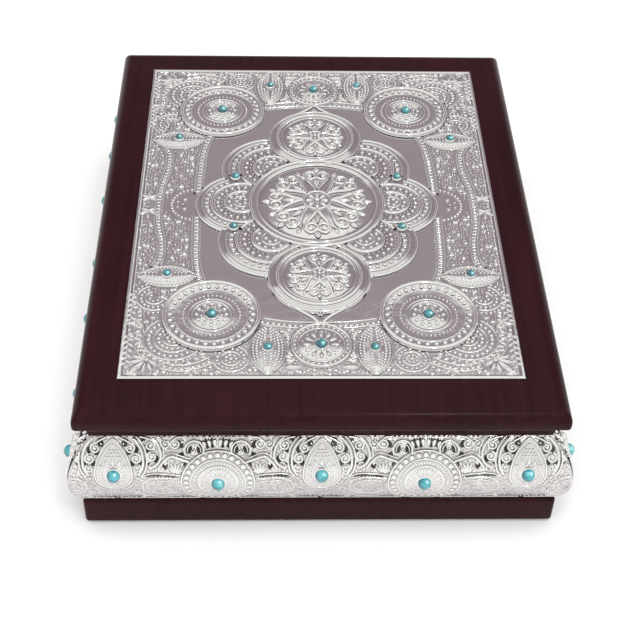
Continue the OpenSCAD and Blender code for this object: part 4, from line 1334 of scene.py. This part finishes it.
# %% The drawing of a band
class BandDrawing:
    def __init__(self, half, gaps=()):
        self.half, self.gaps = half, gaps
        self.lines, self.dots, self.foliage, self.bodies = Relief(), Relief(), Relief(), Relief()
        self.at(0.0)

    def at(self, u0, turn=1):
        self.u0, self.turn = u0, turn

    def inside(self, u, s, room=0.5):
        ok = np.abs(u) < self.half + stand_out(s) - room
        ok &= (s > S_LOW + 0.4) & (s < S_HIGH - 0.4)
        for low, high in self.gaps:
            ok &= (u < low) | (u > high) | (s < S_HIGH - 5.2)
        return ok

    def line(self, path, half, high, base=0.0, closed=False, start=1.0, end=1.0, shade_strip=0.62):
        path = np.asarray(path, float) * (self.turn, 1) + (self.u0, 0)
        ok = self.inside(path[:, 0], path[:, 1])
        if ok.all():
            ridge(self.lines, path, half, high, base, closed, start, end, shade_strip)
            return
        if closed:
            path, ok = np.concatenate([path, path[:1]]), np.append(ok, ok[0])
        for run in runs(path, ok):
            ridge(self.lines, run, half, high, base, shade_strip=shade_strip)

    def stamp(self, relief, punch, rows):
        rows = np.array(np.atleast_2d(rows), float)
        rows[:, 0] = rows[:, 0] * self.turn + self.u0
        rows[:, 6] *= self.turn
        ok = self.inside(rows[:, 0], rows[:, 1], 1.2)
        if ok.any():
            strike(relief, punch, rows[ok])

    def leaves(self, rows, punch=leaf):
        self.stamp(self.foliage, punch, rows)

    def beads(self, rows, punch=dot):
        self.stamp(self.dots, punch, rows)

    def volute(self, middle, r, heading, turns, half=0.68, high=0.9, stem=()):
        start = polar(middle, 1.1 * r, heading)
        if stem:
            path = scroll([*stem, start], np.array(middle), turns, 0.45)
        else:
            path = curl(start, np.array(middle), turns, 0.45)
        self.line(path, half, high, start=1.0, end=0.7)
        self.beads([(*middle, 0, half * 1.15, half * 1.15, high * 0.95, 0)], bead)


# %% [markdown]
# The drop and the shell.
# The drop is a pointed arch with a stone in its round foot, leaves fanned above the stone and a bold double
# outline. The shell is a disc with rings, pearls and petals round its stone, spun like the roundels.

# %% Drop motif
OUTLINE_STEP = 0.6


def arch_bow(r, tip):
    return (tip ** 2 + r ** 2) / (2 * r)


def drop_outline(r, tip):
    k = arch_bow(r, tip)
    top = math.degrees(math.asin(tip / k))
    right = arc(r - k, 0, k, 0, top * 0.995, OUTLINE_STEP)
    foot = arc(0, 0, r, 180, 360, OUTLINE_STEP)
    left = (right * (-1, 1))[::-1]
    return np.concatenate([foot[:-1], right, left[1:-1]])


def pillow(outline, middle, high, foot):
    rings = []
    for f, h in ((1.0, -0.15), (0.97, foot), (0.8, foot + 0.6 * (high - foot)), (0.45, high), (0.02, high)):
        flat = middle + (outline - middle) * f
        rings.append(np.concatenate([flat, np.full((len(flat), 1), h)], 1))
    count = len(outline)
    here = np.arange(count)
    there = (here + 1) % count
    strip = np.stack([here, there, there + count, here + count], 1)
    faces = np.concatenate([strip + i * count for i in range(len(rings) - 1)])
    tones = np.repeat([0.15, 0.5, 0.58, 0.64, 0.64], count)
    return np.concatenate(rings), [faces], tones


DROP_R = 8.3
DROP_TIP = S_HIGH - DROP_S - 0.7
INNER_R = 6.9
INNER_TIP = DROP_TIP - 3.0
DOTTED_R = 6.4
band_seat = spun([(0, 0.88, 0.4), (2.7, 0.88, 0.35), (3.1, 1.1, 0.95), (3.6, 0.95, 0.9), (4.0, 0.4, 0.3),
                  (4.2, -0.1, 0.2)], 36)
shell_disc = spun([(0, 0.6, 0.64), (4.2, 0.6, 0.56), (8.4, 0.62, 0.66), (9.0, 0.4, 0.4), (10.6, 0.45, 0.6),
                   (11.6, 0.35, 0.5), (12.6, 0.3, 0.52), (15.6, 0.3, 0.46), (16.4, -0.1, 0.2)], 72)


def drop_motif(band, u0):
    band.at(u0)
    outline = drop_outline(DROP_R, DROP_TIP)
    points, faces, tones = pillow(outline, np.array((0, 1.5)), 0.55, 0.25)
    points = points + (u0, DROP_S, 0)
    if band.inside(points[:, 0], np.minimum(points[:, 1], S_HIGH - 0.6), 0.1).all():
        band.bodies.add(points, faces, tones)
    shift = np.array((0, DROP_S))
    band.line(drop_outline(DROP_R - 0.2, DROP_TIP - 0.4) + shift, 0.5, 0.85, closed=True, shade_strip=0.4)
    band.line(drop_outline(INNER_R, INNER_TIP) + shift, 0.36, 0.5, 0.3, closed=True, shade_strip=0.25)
    band.stamp(band.bodies, band_seat, [(0, DROP_S, 0, 1, 1, 1, 0)])
    band.beads(ring_rows((0, DROP_S), 5.0, 18, 0.5, 0.55, base=0.4))
    for lean, long, wide in ((0, 4.0, 2.3), (-27, 3.8, 2.0), (27, 3.8, 2.0), (-54, 3.6, 1.7), (54, 3.6, 1.7)):
        u, s = polar((0, DROP_S), 4.5, 90 - lean)
        band.leaves([(u, s, 0.4, wide, long, 0.75, -lean * 0.75)])
    bow = arch_bow(INNER_R, INNER_TIP)
    for row, t in enumerate(np.arange(-5.6, DROP_TIP - 4.2, 1.45)):
        wide = math.sqrt(bow ** 2 - t * t) - bow + DOTTED_R if t > 0 else math.sqrt(DOTTED_R ** 2 - t * t)
        u = np.arange(-6.0, 6.1, 1.5) + 0.75 * (row % 2)
        u = u[(np.abs(u) < wide - 0.5) & (np.hypot(u, t) > 5.6)]
        u = u[(np.hypot(u, t) > 8.4) | (np.abs(u) > 0.9 * t)]
        if len(u):
            band.beads([(k, DROP_S + t, 0.32, 0.64, 0.64, 0.75, 0) for k in u])


# %% Shell motif
def shell_level(u, s):
    return np.interp(np.hypot(u, s - SHELL_S), (0, 8.4, 9, 16), (0.6, 0.6, 0.4, 0.3))


def shell_motif(band, u0):
    band.at(u0)
    at = (0, SHELL_S)
    band.stamp(band.bodies, shell_disc, [(0, SHELL_S, 0, 1, 1, 1, 0)])
    for r, half, high, shade_strip in ((SHELL_R, 0.5, 0.75, 0.3), (12.2, 0.45, 0.6, 0.3), (8.8, 0.42, 0.5, 0)):
        band.line(circle(*at, r, 0.7), half, high, 0.25, closed=True, shade_strip=shade_strip)
    band.beads(ring_rows(at, 14.15, 28, 1.38, 0.95, base=shell_level), bead)
    band.beads(ring_rows(at, 10.5, 54, 0.34, 0.45, lean=2.2, base=shell_level), stud)
    rows = ring_rows(at, 4.6, 14, 1.3, 0.55, base=shell_level)
    rows[:, 4] = 3.6
    band.leaves(rows, petal)
    band.beads(ring_rows(at, 7.4, 14, 0.4, 0.5, start=180 / 14, base=shell_level))
    band.stamp(band.bodies, band_seat, [(0, SHELL_S, 0, 1, 1, 1, 0)])


# %% [markdown]
# Scrolls between the motifs.
# Double stems sweep down from the top edge round each drop and throw curls to both sides; a veined leaf
# and a loop lead over to the shell, and short flutes stand above it. Small flat black patches beside the
# stems are painted shadow and give the ornament its depth.

# %% Scrolls beside a drop
# Strikes flat black leaf shapes beside the stems: painted shadow for the deep gaps.
def paint_shadow_patches(band, rows):
    rows = [(u, s, 0, 1.9 * wide, 1.4 * long, 0.035, -lean) for u, s, lean, long, wide in rows]
    band.leaves(rows, shadow_patch)


def drop_scrolls(band, u0, turn):
    band.at(u0, turn)
    paint_shadow_patches(band, [(4.4, 19.4, 25, 3.4, 1.4), (10.4, 16.6, -15, 3.0, 1.4), (12.0, 10.4, 0, 2.6, 1.1),
                (7.4, 15.8, -20, 2.4, 1.4), (8.7, 10.6, -10, 2.2, 1.2), (13.6, 21.4, -35, 3.0, 1.4),
                (15.0, 16.8, -5, 3.0, 1.5), (18.6, 12.2, 10, 2.6, 1.4), (14.9, 10.8, 0, 3.2, 1.4),
                (22.4, 17.2, -10, 2.6, 1.2), (11.6, 22.6, -50, 2.4, 1.2), (6.6, 21.8, -60, 2.2, 1.1)])
    stem = curve([(7.6, 24.0), (10.4, 21.4), (12.4, 18.0), (13.2, 13.4), (12.6, 9.4), (10.8, 6.4)])
    band.line(stem, 0.7, 0.95)
    band.line(beside(stem, 1.6), 0.55, 0.8)
    band.volute((7.5, 18.9), 2.0, 60, -1.4, stem=[(2.6, 23.9), (5.2, 22.6), (7.6, 21.2)])
    band.volute((10.0, 14.2), 2.1, 80, -1.5)
    band.volute((10.4, 9.6), 1.7, 70, -1.4, 0.55, 0.8)
    band.volute((16.2, 20.2), 2.1, 60, -1.5, stem=[(11.8, 23.9), (14.4, 23.4), (16.6, 22.6)])
    outer = [(16.4, 24.0), (19.0, 21.4), (20.6, 18.0), (20.8, 14.6), (19.2, 11.6), (16.4, 10.0)]
    band.line(curve(outer), 0.7, 0.95)
    band.line(beside(curve(outer[:4]), 1.5), 0.5, 0.8)
    band.volute((17.1, 15.2), 2.0, 100, 1.5)
    band.volute((23.0, 20.8), 1.9, 170, 1.4, 0.58, 0.85, stem=[(19.8, 23.9), (20.9, 22.8)])
    for u, s, lean, long in ((18.3, 17.2, -20, 2.8), (22.6, 10.8, 15, 3.2), (15.4, 7.0, -10, 2.6),
                             (18.4, 7.6, 10, 2.8), (12.8, 4.6, -25, 2.4), (15.2, 12.2, 20, 2.2)):
        band.leaves([(u, s, 0, 1.9, long, 0.8, -lean)])


# %% Arch, leaf, ledge and flutes towards a shell
def shell_scrolls(band, u0, turn, crowded):
    band.at(u0, turn)
    for a in (86.5, 79.5, 72.5):
        u, s = polar((0, SHELL_S), 17.0, a)
        band.leaves([(u, s, 0, 2.0, 4.9, 0.95, a - 90)], petal)
        u, s = polar((0, SHELL_S), 17.2, a - 3.5)
        paint_shadow_patches(band, [(u, s, 93.5 - a, 3.6, 1.3)])
    paint_shadow_patches(band, [(7.4, 16.2, 15, 3.0, 1.4), (13.0, 16.4, -20, 3.0, 1.4), (15.8, 18.8, 15, 2.8, 1.4)])
    band.line(arc(10.2, 17.9, 4.2, -25, 200, 0.5), 0.65, 1.0)
    band.line(arc(10.2, 17.7, 2.9, -10, 190, 0.5), 0.35, 0.6, shade_strip=0.3)
    for lean in (-56, -28, 0, 28, 56):
        band.leaves([(10.2, 15.6, 0, 1.5, 3.6 - abs(lean) / 60, 0.8, -lean)])
    if crowded:
        return
    band.volute((18.4, 20.8), 2.0, 20, -1.5, stem=[(15.2, 23.7), (17.6, 23.6)])
    paint_shadow_patches(band, [(14.4, 9.6, -20, 3.6, 1.2), (22.6, 9.0, 10, 3.4, 1.3), (17.2, 15.0, -60, 2.8, 1.2),
                (17.0, 5.0, 86, 5.6, 0.75), (24.0, 5.7, 91, 6.6, 0.75)])
    roof = curve([(26.0, 9.4), (23.6, 12.8), (20.4, 15.2), (16.0, 13.9), (12.4, 12.6)], 0.6)
    band.line(roof, 0.7, 1.0)
    band.line(beside(roof, -1.5), 0.4, 0.7)
    for lean, long in ((-66, 4.0), (-44, 5.2), (-22, 6.2), (0, 6.6), (22, 6.4), (44, 5.4)):
        band.leaves([(18.6, 6.9, 0, 2.3, long, 0.9, -lean)])
    band.line(curve([(16.8, 5.8), (20.0, 6.4), (25.6, 7.0), (30.0, 6.7), (32.6, 5.6)]), 0.4, 0.8, shade_strip=0)
    band.leaves([(15.4, 17.6, 0, 1.8, 3.0, 0.8, 30), (22.0, 17.4, 0, 1.9, 3.0, 0.8, -25)])


# %% Quiet ornament of the lower half
def lower_panel(band, u0, turn, shells):
    band.at(u0, turn)
    panel = [(28.6, 4.0), (20.0, 4.6), (14.6, 3.6), (12.4, 0.2), (13.2, -4.0), (17.0, -6.6), (23.0, -6.8),
             (27.4, -5.6)]
    band.line(curve(panel), 0.4, 0.6, shade_strip=0)
    inner = [(26.4, 2.2), (20.0, 2.8), (15.8, 1.8), (14.2, -0.6), (15.0, -3.2), (18.0, -5.0)]
    band.line(curve(inner), 0.3, 0.5, shade_strip=0)
    swag = [(9.6, -3.6), (11.4, -8.0), (15.6, -10.6), (22.0, -11.2), (28.4, -10.2)]
    band.line(curve(swag), 0.35, 0.6, shade_strip=0)
    for u in np.arange(15.2, 27.0, 1.6):
        band.beads([(u, 5.2 - 0.02 * (u - 20) ** 2, 0, 0.42, 0.42, 0.6, 0)])
    band.volute((12.0, -11.6), 1.5, 90, -1.3, 0.42, 0.8)
    for r, count in ((9.6, 15), (11.4, 11)):
        band.beads(ring_rows((0, DROP_S), r, count, 0.5, 0.7, a0=-88, a1=-20, base=0))
    for u in np.arange(3.0, 43.0, 4.0):
        if any(abs(u0 + turn * u - shell) < 8.0 for shell in shells):
            continue
        band.line(arc(u, -16.2, 1.9, 8, 172, 0.5), 0.32, 0.8, shade_strip=0)
        band.leaves([(u, -15.8, 0, 1.1, 2.6, 0.9, 0)])
        band.beads([(u + 2.0, -13.2, 0, 0.45, 0.45, 0.8, 0)])


# %% [markdown]
# Wear.
# Hands and cloths reach the lower half of the cushion first. There the relief is rubbed down and the dark
# at its feet, partly tarnish and partly painted shade, is faded, while the upper half, tucked under the lid,
# stays crisp and keeps its black patches of painted shadow.

# %% Rub the lower half down
def worn(relief):
    for i, (points, tones) in enumerate(zip(relief.points, relief.tones)):
        fresh = np.interp(points[:, 1], (-15, -12, -8, 0, 4, 8.5), (0.85, 0.45, 0.4, 0.58, 0.85, 1.0))
        kept = np.where(points[:, 1] < -10, 0.3, fresh)
        high = np.where(points[:, 2] > 0, points[:, 2] * kept, points[:, 2])
        relief.points[i] = np.stack([points[:, 0], points[:, 1], high], 1)
        # Worn tones are pulled towards a middle grey, so the tarnish and painted shade at the feet fade.
        relief.tones[i] = 0.56 + (tones - 0.56) * fresh


# %% [markdown]
# Pebbles in the hollows.
# Between stems and curls the real sheet is crowded with little knobs, and only small hollows stay dark. A
# coarse map marks what is already covered; knobs of falling size are then tried all over the upper half,
# and each one that fits is struck and marked in its turn.

# %% Fill the hollows of the upper half
UPPER_S = 4.6
MAP_CELL = 0.3


def covered_map(band, drops, shells):
    low = -band.half - 6, UPPER_S
    shape = int((2 * band.half + 12) / MAP_CELL) + 1, int((S_HIGH - UPPER_S) / MAP_CELL) + 1
    covered = np.zeros(shape, bool)
    points = np.concatenate(band.lines.points + band.dots.points + band.foliage.points)
    points = points[(points[:, 2] > 0.05) & (points[:, 1] > UPPER_S)]
    i, j = ((points[:, :2] - low) / MAP_CELL).astype(int).T
    covered[np.clip(i, 0, shape[0] - 1), np.clip(j, 0, shape[1] - 1)] = True
    u, s = np.meshgrid(*[at + MAP_CELL * np.arange(count) for at, count in zip(low, shape)], indexing="ij")
    for shell in shells:
        covered |= np.hypot(u - shell, s - SHELL_S) < SHELL_R + 0.5
    bow = arch_bow(DROP_R, DROP_TIP)
    for drop in drops:
        wide = np.sqrt(np.maximum(bow ** 2 - (s - DROP_S) ** 2, 0)) - bow + DROP_R
        covered |= np.abs(u - drop) < wide + 0.4
    return covered, u, s


def pebbles(band, drops, shells, draw):
    covered, u, s = covered_map(band, drops, shells)
    rows = []
    for r, share in ((0.9, 0.9), (0.7, 0.9), (0.5, 0.85)):
        reach = int(round(r / MAP_CELL))
        for k in draw.permutation(covered.size // 3):
            i, j = divmod(3 * k, covered.shape[1])
            near = covered[max(i - reach, 0):i + reach + 1, max(j - reach, 0):j + reach + 1]
            if near.any() or draw.random() > share:
                continue
            near[:] = True
            rows.append((u[i, j], s[i, j], 0, 0.8 * r, 1.15 * r, 0.55 + 0.25 * r, draw.uniform(-60, 60)))
    band.at(0.0)
    band.beads(rows)
    print(len(rows), "pebbles")


# %% [markdown]
# Rubbed dots.
# The lower half carries only faint dots, worn almost smooth. They stand on a loose grid, each moved a
# little at random, and keep off the drops and the shells.

# %% Dots of the lower half
DOT_GAP = 1.8
DOT_SHIFT = 0.6


def rubbed_dots(band, drops, shells, draw):
    spots = np.arange(-band.half, band.half, DOT_GAP), np.arange(S_LOW + 1, UPPER_S, DOT_GAP)
    u, s = np.meshgrid(*spots, indexing="ij")
    u = (u + draw.uniform(-DOT_SHIFT, DOT_SHIFT, u.shape)).ravel()
    s = (s + draw.uniform(-DOT_SHIFT, DOT_SHIFT, s.shape)).ravel()
    bare = np.ones(len(u), bool)
    for shell in shells:
        bare &= np.hypot(u - shell, s - SHELL_S) > SHELL_R + 0.5
    for drop in drops:
        bare &= np.hypot(u - drop, s - DROP_S) > DROP_R + 0.6
    size = draw.uniform(0.32, 0.55, len(u))
    rows = rows_of(u, s, 0, size, 1.2 * size, size, draw.uniform(0, 90, len(u)))
    band.at(0.0)
    band.beads(rows[bare])
    print(int(bare.sum()), "rubbed dots")


# %% [markdown]
# The sheet behind the ornament.
# The sheet is a grid that follows the mitre at both ends. It is a mottled mid grey, a little lighter behind
# the scrolls, and goes dark only in two round spots beside each drop at the bottom edge. The black between
# the scrolls isn't in the sheet: it is painted shadow, in the flat black patches and in the dark strips
# beside the stems.

# %% Band sheet
SHEET_T = 0.58
SHEET_ROWS = 60
SHEET_COLS = 241
MOTTLE_SEED = 3


def sheet_tones(u, s, half, drops, shells):
    zone = np.clip((s - 5.4) / 1.4, 0, 1) * np.clip((half + stand_out(s) - np.abs(u)) / 4, 0, 1)
    for shell in shells:
        zone = zone * np.clip((np.hypot(u - shell, s - SHELL_S) - 16.0) / 0.6, 0, 1)
    # Two round spots beside each drop at the bottom edge are made darker; no dent is modelled.
    for drop in drops:
        for side in (-12, 12):
            dark_spot = np.hypot(u - drop - side, 1.4 * (s + 14.6))
            zone = np.maximum(zone, 3.5 * np.clip(2.0 - dark_spot, 0, 1))
    mottle = np.random.default_rng(MOTTLE_SEED).normal(0, 1, zone.shape)
    return 0.48 + 0.14 * np.clip(zone, 0, 1) - 0.2 * np.maximum(zone - 1, 0) + 0.09 * mottle


def band_sheet(half, gaps, drops, shells):
    rows = np.concatenate([[S_HIGH], np.linspace(S_HIGH, S_LOW, SHEET_ROWS), [S_LOW]])
    depth = np.concatenate([[-SHEET_T], np.zeros(SHEET_ROWS), [-SHEET_T]])
    u = np.linspace(-1, 1, SHEET_COLS)[None] * (half + stand_out(rows))[:, None]
    s = np.repeat(rows[:, None], SHEET_COLS, 1)
    h = np.repeat(depth[:, None], SHEET_COLS, 1)
    faces = grid_faces(len(rows), SHEET_COLS)[:, [0, 3, 2, 1]]
    middle_u = u.ravel()[faces].mean(1)
    middle_s = s.ravel()[faces].mean(1)
    keep = np.ones(len(faces), bool)
    for low, high in gaps:
        keep &= (middle_u < low) | (middle_u > high) | (middle_s < S_HIGH - 2.2)
    points = np.stack([u, s, h], 2).reshape(-1, 3)
    return points, [faces[keep]], sheet_tones(u, s, half, drops, shells).ravel()


# %% [markdown]
# Four bands.
# Drops and shells take turns at one pitch, and the long sides have one more shell close to each corner. On
# the back the sheet leaves a gap for each hinge leaf.

# %% Draw and bend the four bands
hinge_low, hinge_high = box_mm("right_hinge_box_leaf")
hinge_gap = (hinge_low[0] - 0.6, hinge_high[0] + 0.6)
HINGE_GAPS = (hinge_gap, (-hinge_gap[1], -hinge_gap[0]))


def motif_places(side):
    if side in ("front", "back"):
        return (-2 * PITCH, 0, 2 * PITCH), (-PITCH, PITCH)
    return (-PITCH, PITCH), (-END_SHELL, -2 * PITCH, 0, 2 * PITCH, END_SHELL)


for seed, side in enumerate(SIDES):
    half = HALF_W if side in ("front", "back") else HALF_D
    gaps = HINGE_GAPS if side == "back" else ()
    drops, shells = motif_places(side)
    band = BandDrawing(half, gaps)
    for u0 in drops:
        drop_motif(band, u0)
        for turn in (1, -1):
            drop_scrolls(band, u0, turn)
            lower_panel(band, u0, turn, shells)
    for u0 in shells:
        shell_motif(band, u0)
        for turn in (1, -1):
            crowded = any(0 < (other - u0) * turn < 40 for other in shells)
            shell_scrolls(band, u0, turn, crowded)
    draw = np.random.default_rng(seed)
    pebbles(band, drops, shells, draw)
    rubbed_dots(band, drops, shells, draw)
    for relief in (band.bodies, band.lines, band.dots, band.foliage):
        worn(relief)
    band.bodies.add(*band_sheet(half, gaps, drops, shells))
    for part, relief in (("sheet", band.bodies), ("scrolls", band.lines), ("beads", band.dots),
                         ("leaves", band.foliage)):
        crease = 38 if part == "sheet" else None
        make_piece(f"{side}_band_{part}", relief, bent(side), silver_band, "box", side + "_band", crease)

# %% [markdown]
# The stones.
# The stones are round cabochons, as tall as half their width, so each is a dome spun from a quarter circle
# with a short straight girdle that sinks into its seat. Those of the plate are a deeper blue-green.

# %% Domed stones in their seats
swing = np.radians(np.arange(0, 91, 10))
dome = spun([(math.sin(a), math.cos(a), 1.0) for a in swing] + [(1.0, -0.15, 1.0)], 28)
PLATE_STONES = (("roundel_stones", [(*ROUNDEL_AT, 1.3, 2.5)]),
                ("petal_stones", [(*PETAL_STONE_AT, 2.8, 2.1)]),
                ("leaf_stones", [(*BOAT_AT, 2.2, 2.1)]),
                ("border_stones", [(*ALMOND_AT, 2.2, 2.1), (*RING_AT, 1.3, 2.5)]))
STONE_CREASE = 40
for node, stones in PLATE_STONES:
    cut = Relief()
    for x, y, seat, r in stones:
        stone = Relief()
        strike(stone, dome, [(x, y, seat, r, r, 0.95 * r, 0)])
        cut.mirror(stone, *(ALL_FOUR if x else FRONT_BACK))
    make_piece(node + "_domes", cut, flat_place, teal_stone, "lid", node, STONE_CREASE)
for side in SIDES:
    drops, shells = motif_places(side)
    spots = [(u, DROP_S) for u in drops] + [(u, SHELL_S) for u in shells]
    cut = Relief()
    strike(cut, dome, [(u, s, 0.9, 3.0, 3.0, 2.9, 0) for u, s in spots])
    node = side + "_band_stones"
    make_piece(side + "_stone_domes", cut, bent(side), sky_stone, "box", node, STONE_CREASE)

# %% [markdown]
# Lid and base boards.
# Both boards are solid wood with rounded edges: the lid has a full round on top, the base a small one. A
# plane the size of the board gets rounded corners, and its face is then drawn up step by step along the
# router's profile, shrinking a little wherever the profile turns in.

# %% Rounded boards
def router_profile(thick, upper, lower):
    turns = np.radians(np.linspace(0, 90, 8))
    foot = [(lower * (1 - math.sin(a)), lower * (1 - math.cos(a))) for a in turns]
    top = [(upper * (1 - math.cos(a)), thick - upper + upper * math.sin(a)) for a in turns]
    return foot + top


BOARD_CORNER = 1.6
LOWER_ROUND = 1.5


def rounded_board(name, node, body, upper):
    low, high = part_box(node)
    size = (high - low) / MM
    middle = (low + high) / 2
    steps = router_profile(size.z, upper, LOWER_ROUND)
    bpy.ops.object.select_all(action="DESELECT")
    bpy.ops.mesh.primitive_plane_add(size=1, location=(middle.x, middle.y, low.z))
    board = bpy.context.object
    board.name = name
    board.scale = ((size.x - 2 * LOWER_ROUND) * MM, (size.y - 2 * LOWER_ROUND) * MM, 1)
    bpy.ops.object.transform_apply(location=True, rotation=False, scale=True)
    bpy.ops.object.mode_set(mode="EDIT")
    bpy.ops.mesh.select_all(action="SELECT")
    bpy.ops.mesh.bevel(offset=BOARD_CORNER * MM, segments=6, affect="VERTICES")
    bpy.ops.mesh.select_all(action="SELECT")
    for (inset, rise), (next_inset, next_rise) in zip(steps, steps[1:]):
        bpy.ops.mesh.extrude_region_move(TRANSFORM_OT_translate={"value": (0, 0, (next_rise - rise) * MM)})
        grow = [(side - 2 * next_inset) / (side - 2 * inset) for side in (size.x, size.y)]
        bpy.ops.transform.resize(value=(*grow, 1), center_override=(middle.x, middle.y, 0))
    bpy.ops.mesh.select_all(action="SELECT")
    bpy.ops.mesh.normals_make_consistent(inside=False)
    bpy.ops.object.mode_set(mode="OBJECT")
    bpy.ops.object.shade_smooth_by_angle(angle=math.radians(35))
    board.data.materials.append(lacquer_deep)
    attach(board, body)
    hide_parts(node)
    print(name, len(board.data.polygons), "faces")


rounded_board("lid_board_wood", "lid_board", "lid", 6.0)
rounded_board("base_board_wood", "base_board", "box", 2.0)

# %% [markdown]
# Velvet lining.
# Inside, thin padded panels covered with velvet line the floor, the walls and the lid. Each panel is only a
# few millimetres thick, thinner than the grid a cloth simulation needs, so it is shaped like a sculptor
# would: a grid is crowned towards the middle, rolled over at the edges, pressed in along a sewn line, and
# given a flat back by extruding its border.

# %% Padded panels
EDGE_PULL = 0.18


def edge_fall(gap, radius):
    return np.sqrt(np.clip(1 - (1 - np.clip(gap / radius, 0, 1)) ** 2, 0, 1))


def padded_panel(name, node, body, face, mat, crown, roll, seam=None, cells=(100, 130)):
    low, high = box_mm(node)
    axis = "XYZ".index(face[1])
    wide, tall = [i for i in range(3) if i != axis]
    size = high - low
    bpy.ops.object.select_all(action="DESELECT")
    bpy.ops.mesh.primitive_grid_add(x_subdivisions=cells[0], y_subdivisions=cells[1], size=2)
    panel = bpy.context.object
    panel.name = name
    mesh = panel.data
    flat = np.zeros(len(mesh.vertices) * 3)
    mesh.vertices.foreach_get("co", flat)
    a, b = np.sin(flat.reshape(-1, 3)[:, :2].T * math.pi / 2)
    gap_a, gap_b = (1 - np.abs(a)) * size[wide] / 2, (1 - np.abs(b)) * size[tall] / 2
    gap = np.minimum(gap_a, gap_b)
    thick = size[axis]
    swell = (1 - crown) + crown * (1 - a ** 4) * (1 - b ** 4)
    rise = thick * (0.12 + 0.88 * edge_fall(gap_a, roll) * edge_fall(gap_b, roll) * swell)
    if seam:
        rise -= 0.4 * thick * np.exp(-((gap - seam) / 1.1) ** 2)
    place = np.zeros((len(a), 3))
    place[:, wide] = (low + high)[wide] / 2 + a * (size[wide] / 2 - EDGE_PULL * (1 - b * b))
    place[:, tall] = (low + high)[tall] / 2 + b * (size[tall] / 2 - EDGE_PULL * (1 - a * a))
    place[:, axis] = low[axis] + rise if face[0] == "+" else high[axis] - rise
    mesh.vertices.foreach_set("co", (place * MM).ravel())
    bpy.ops.object.mode_set(mode="EDIT")
    bpy.ops.mesh.select_mode(type="EDGE")
    bpy.ops.mesh.select_all(action="DESELECT")
    bpy.ops.mesh.select_non_manifold()
    bpy.ops.mesh.extrude_region()
    bpy.ops.object.mode_set(mode="OBJECT")
    back = low[axis] if face[0] == "+" else high[axis]
    for vertex in mesh.vertices:
        if vertex.select:
            vertex.co[axis] = back * MM
    bpy.ops.object.mode_set(mode="EDIT")
    bpy.ops.mesh.edge_face_add()
    bpy.ops.mesh.select_all(action="SELECT")
    bpy.ops.mesh.normals_make_consistent(inside=False)
    bpy.ops.object.mode_set(mode="OBJECT")
    bpy.ops.object.shade_smooth_by_angle(angle=math.radians(50))
    mesh.materials.append(mat)
    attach(panel, body)
    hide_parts(node)
    print(name, len(mesh.polygons), "faces")


padded_panel("floor_pad_velvet", "floor_pad", "box", "+Z", velvet, 0.35, 2.6, 11.0)
padded_panel("lid_pad_velvet", "lid_pad", "lid", "-Z", velvet, 0.35, 2.2, 11.0)
for side, face, cells in zip(SIDES, ("+Y", "-Y", "+X", "-X"), (110, 110, 130, 130)):
    lining = side + "_lining"
    padded_panel(lining + "_velvet", lining, "box", face, velvet, 0.2, 1.3, None, (cells, 30))
padded_panel("base_felt_sheet", "base_felt", "box", "-Z", felt, 0.0, 0.9, None, (60, 80))
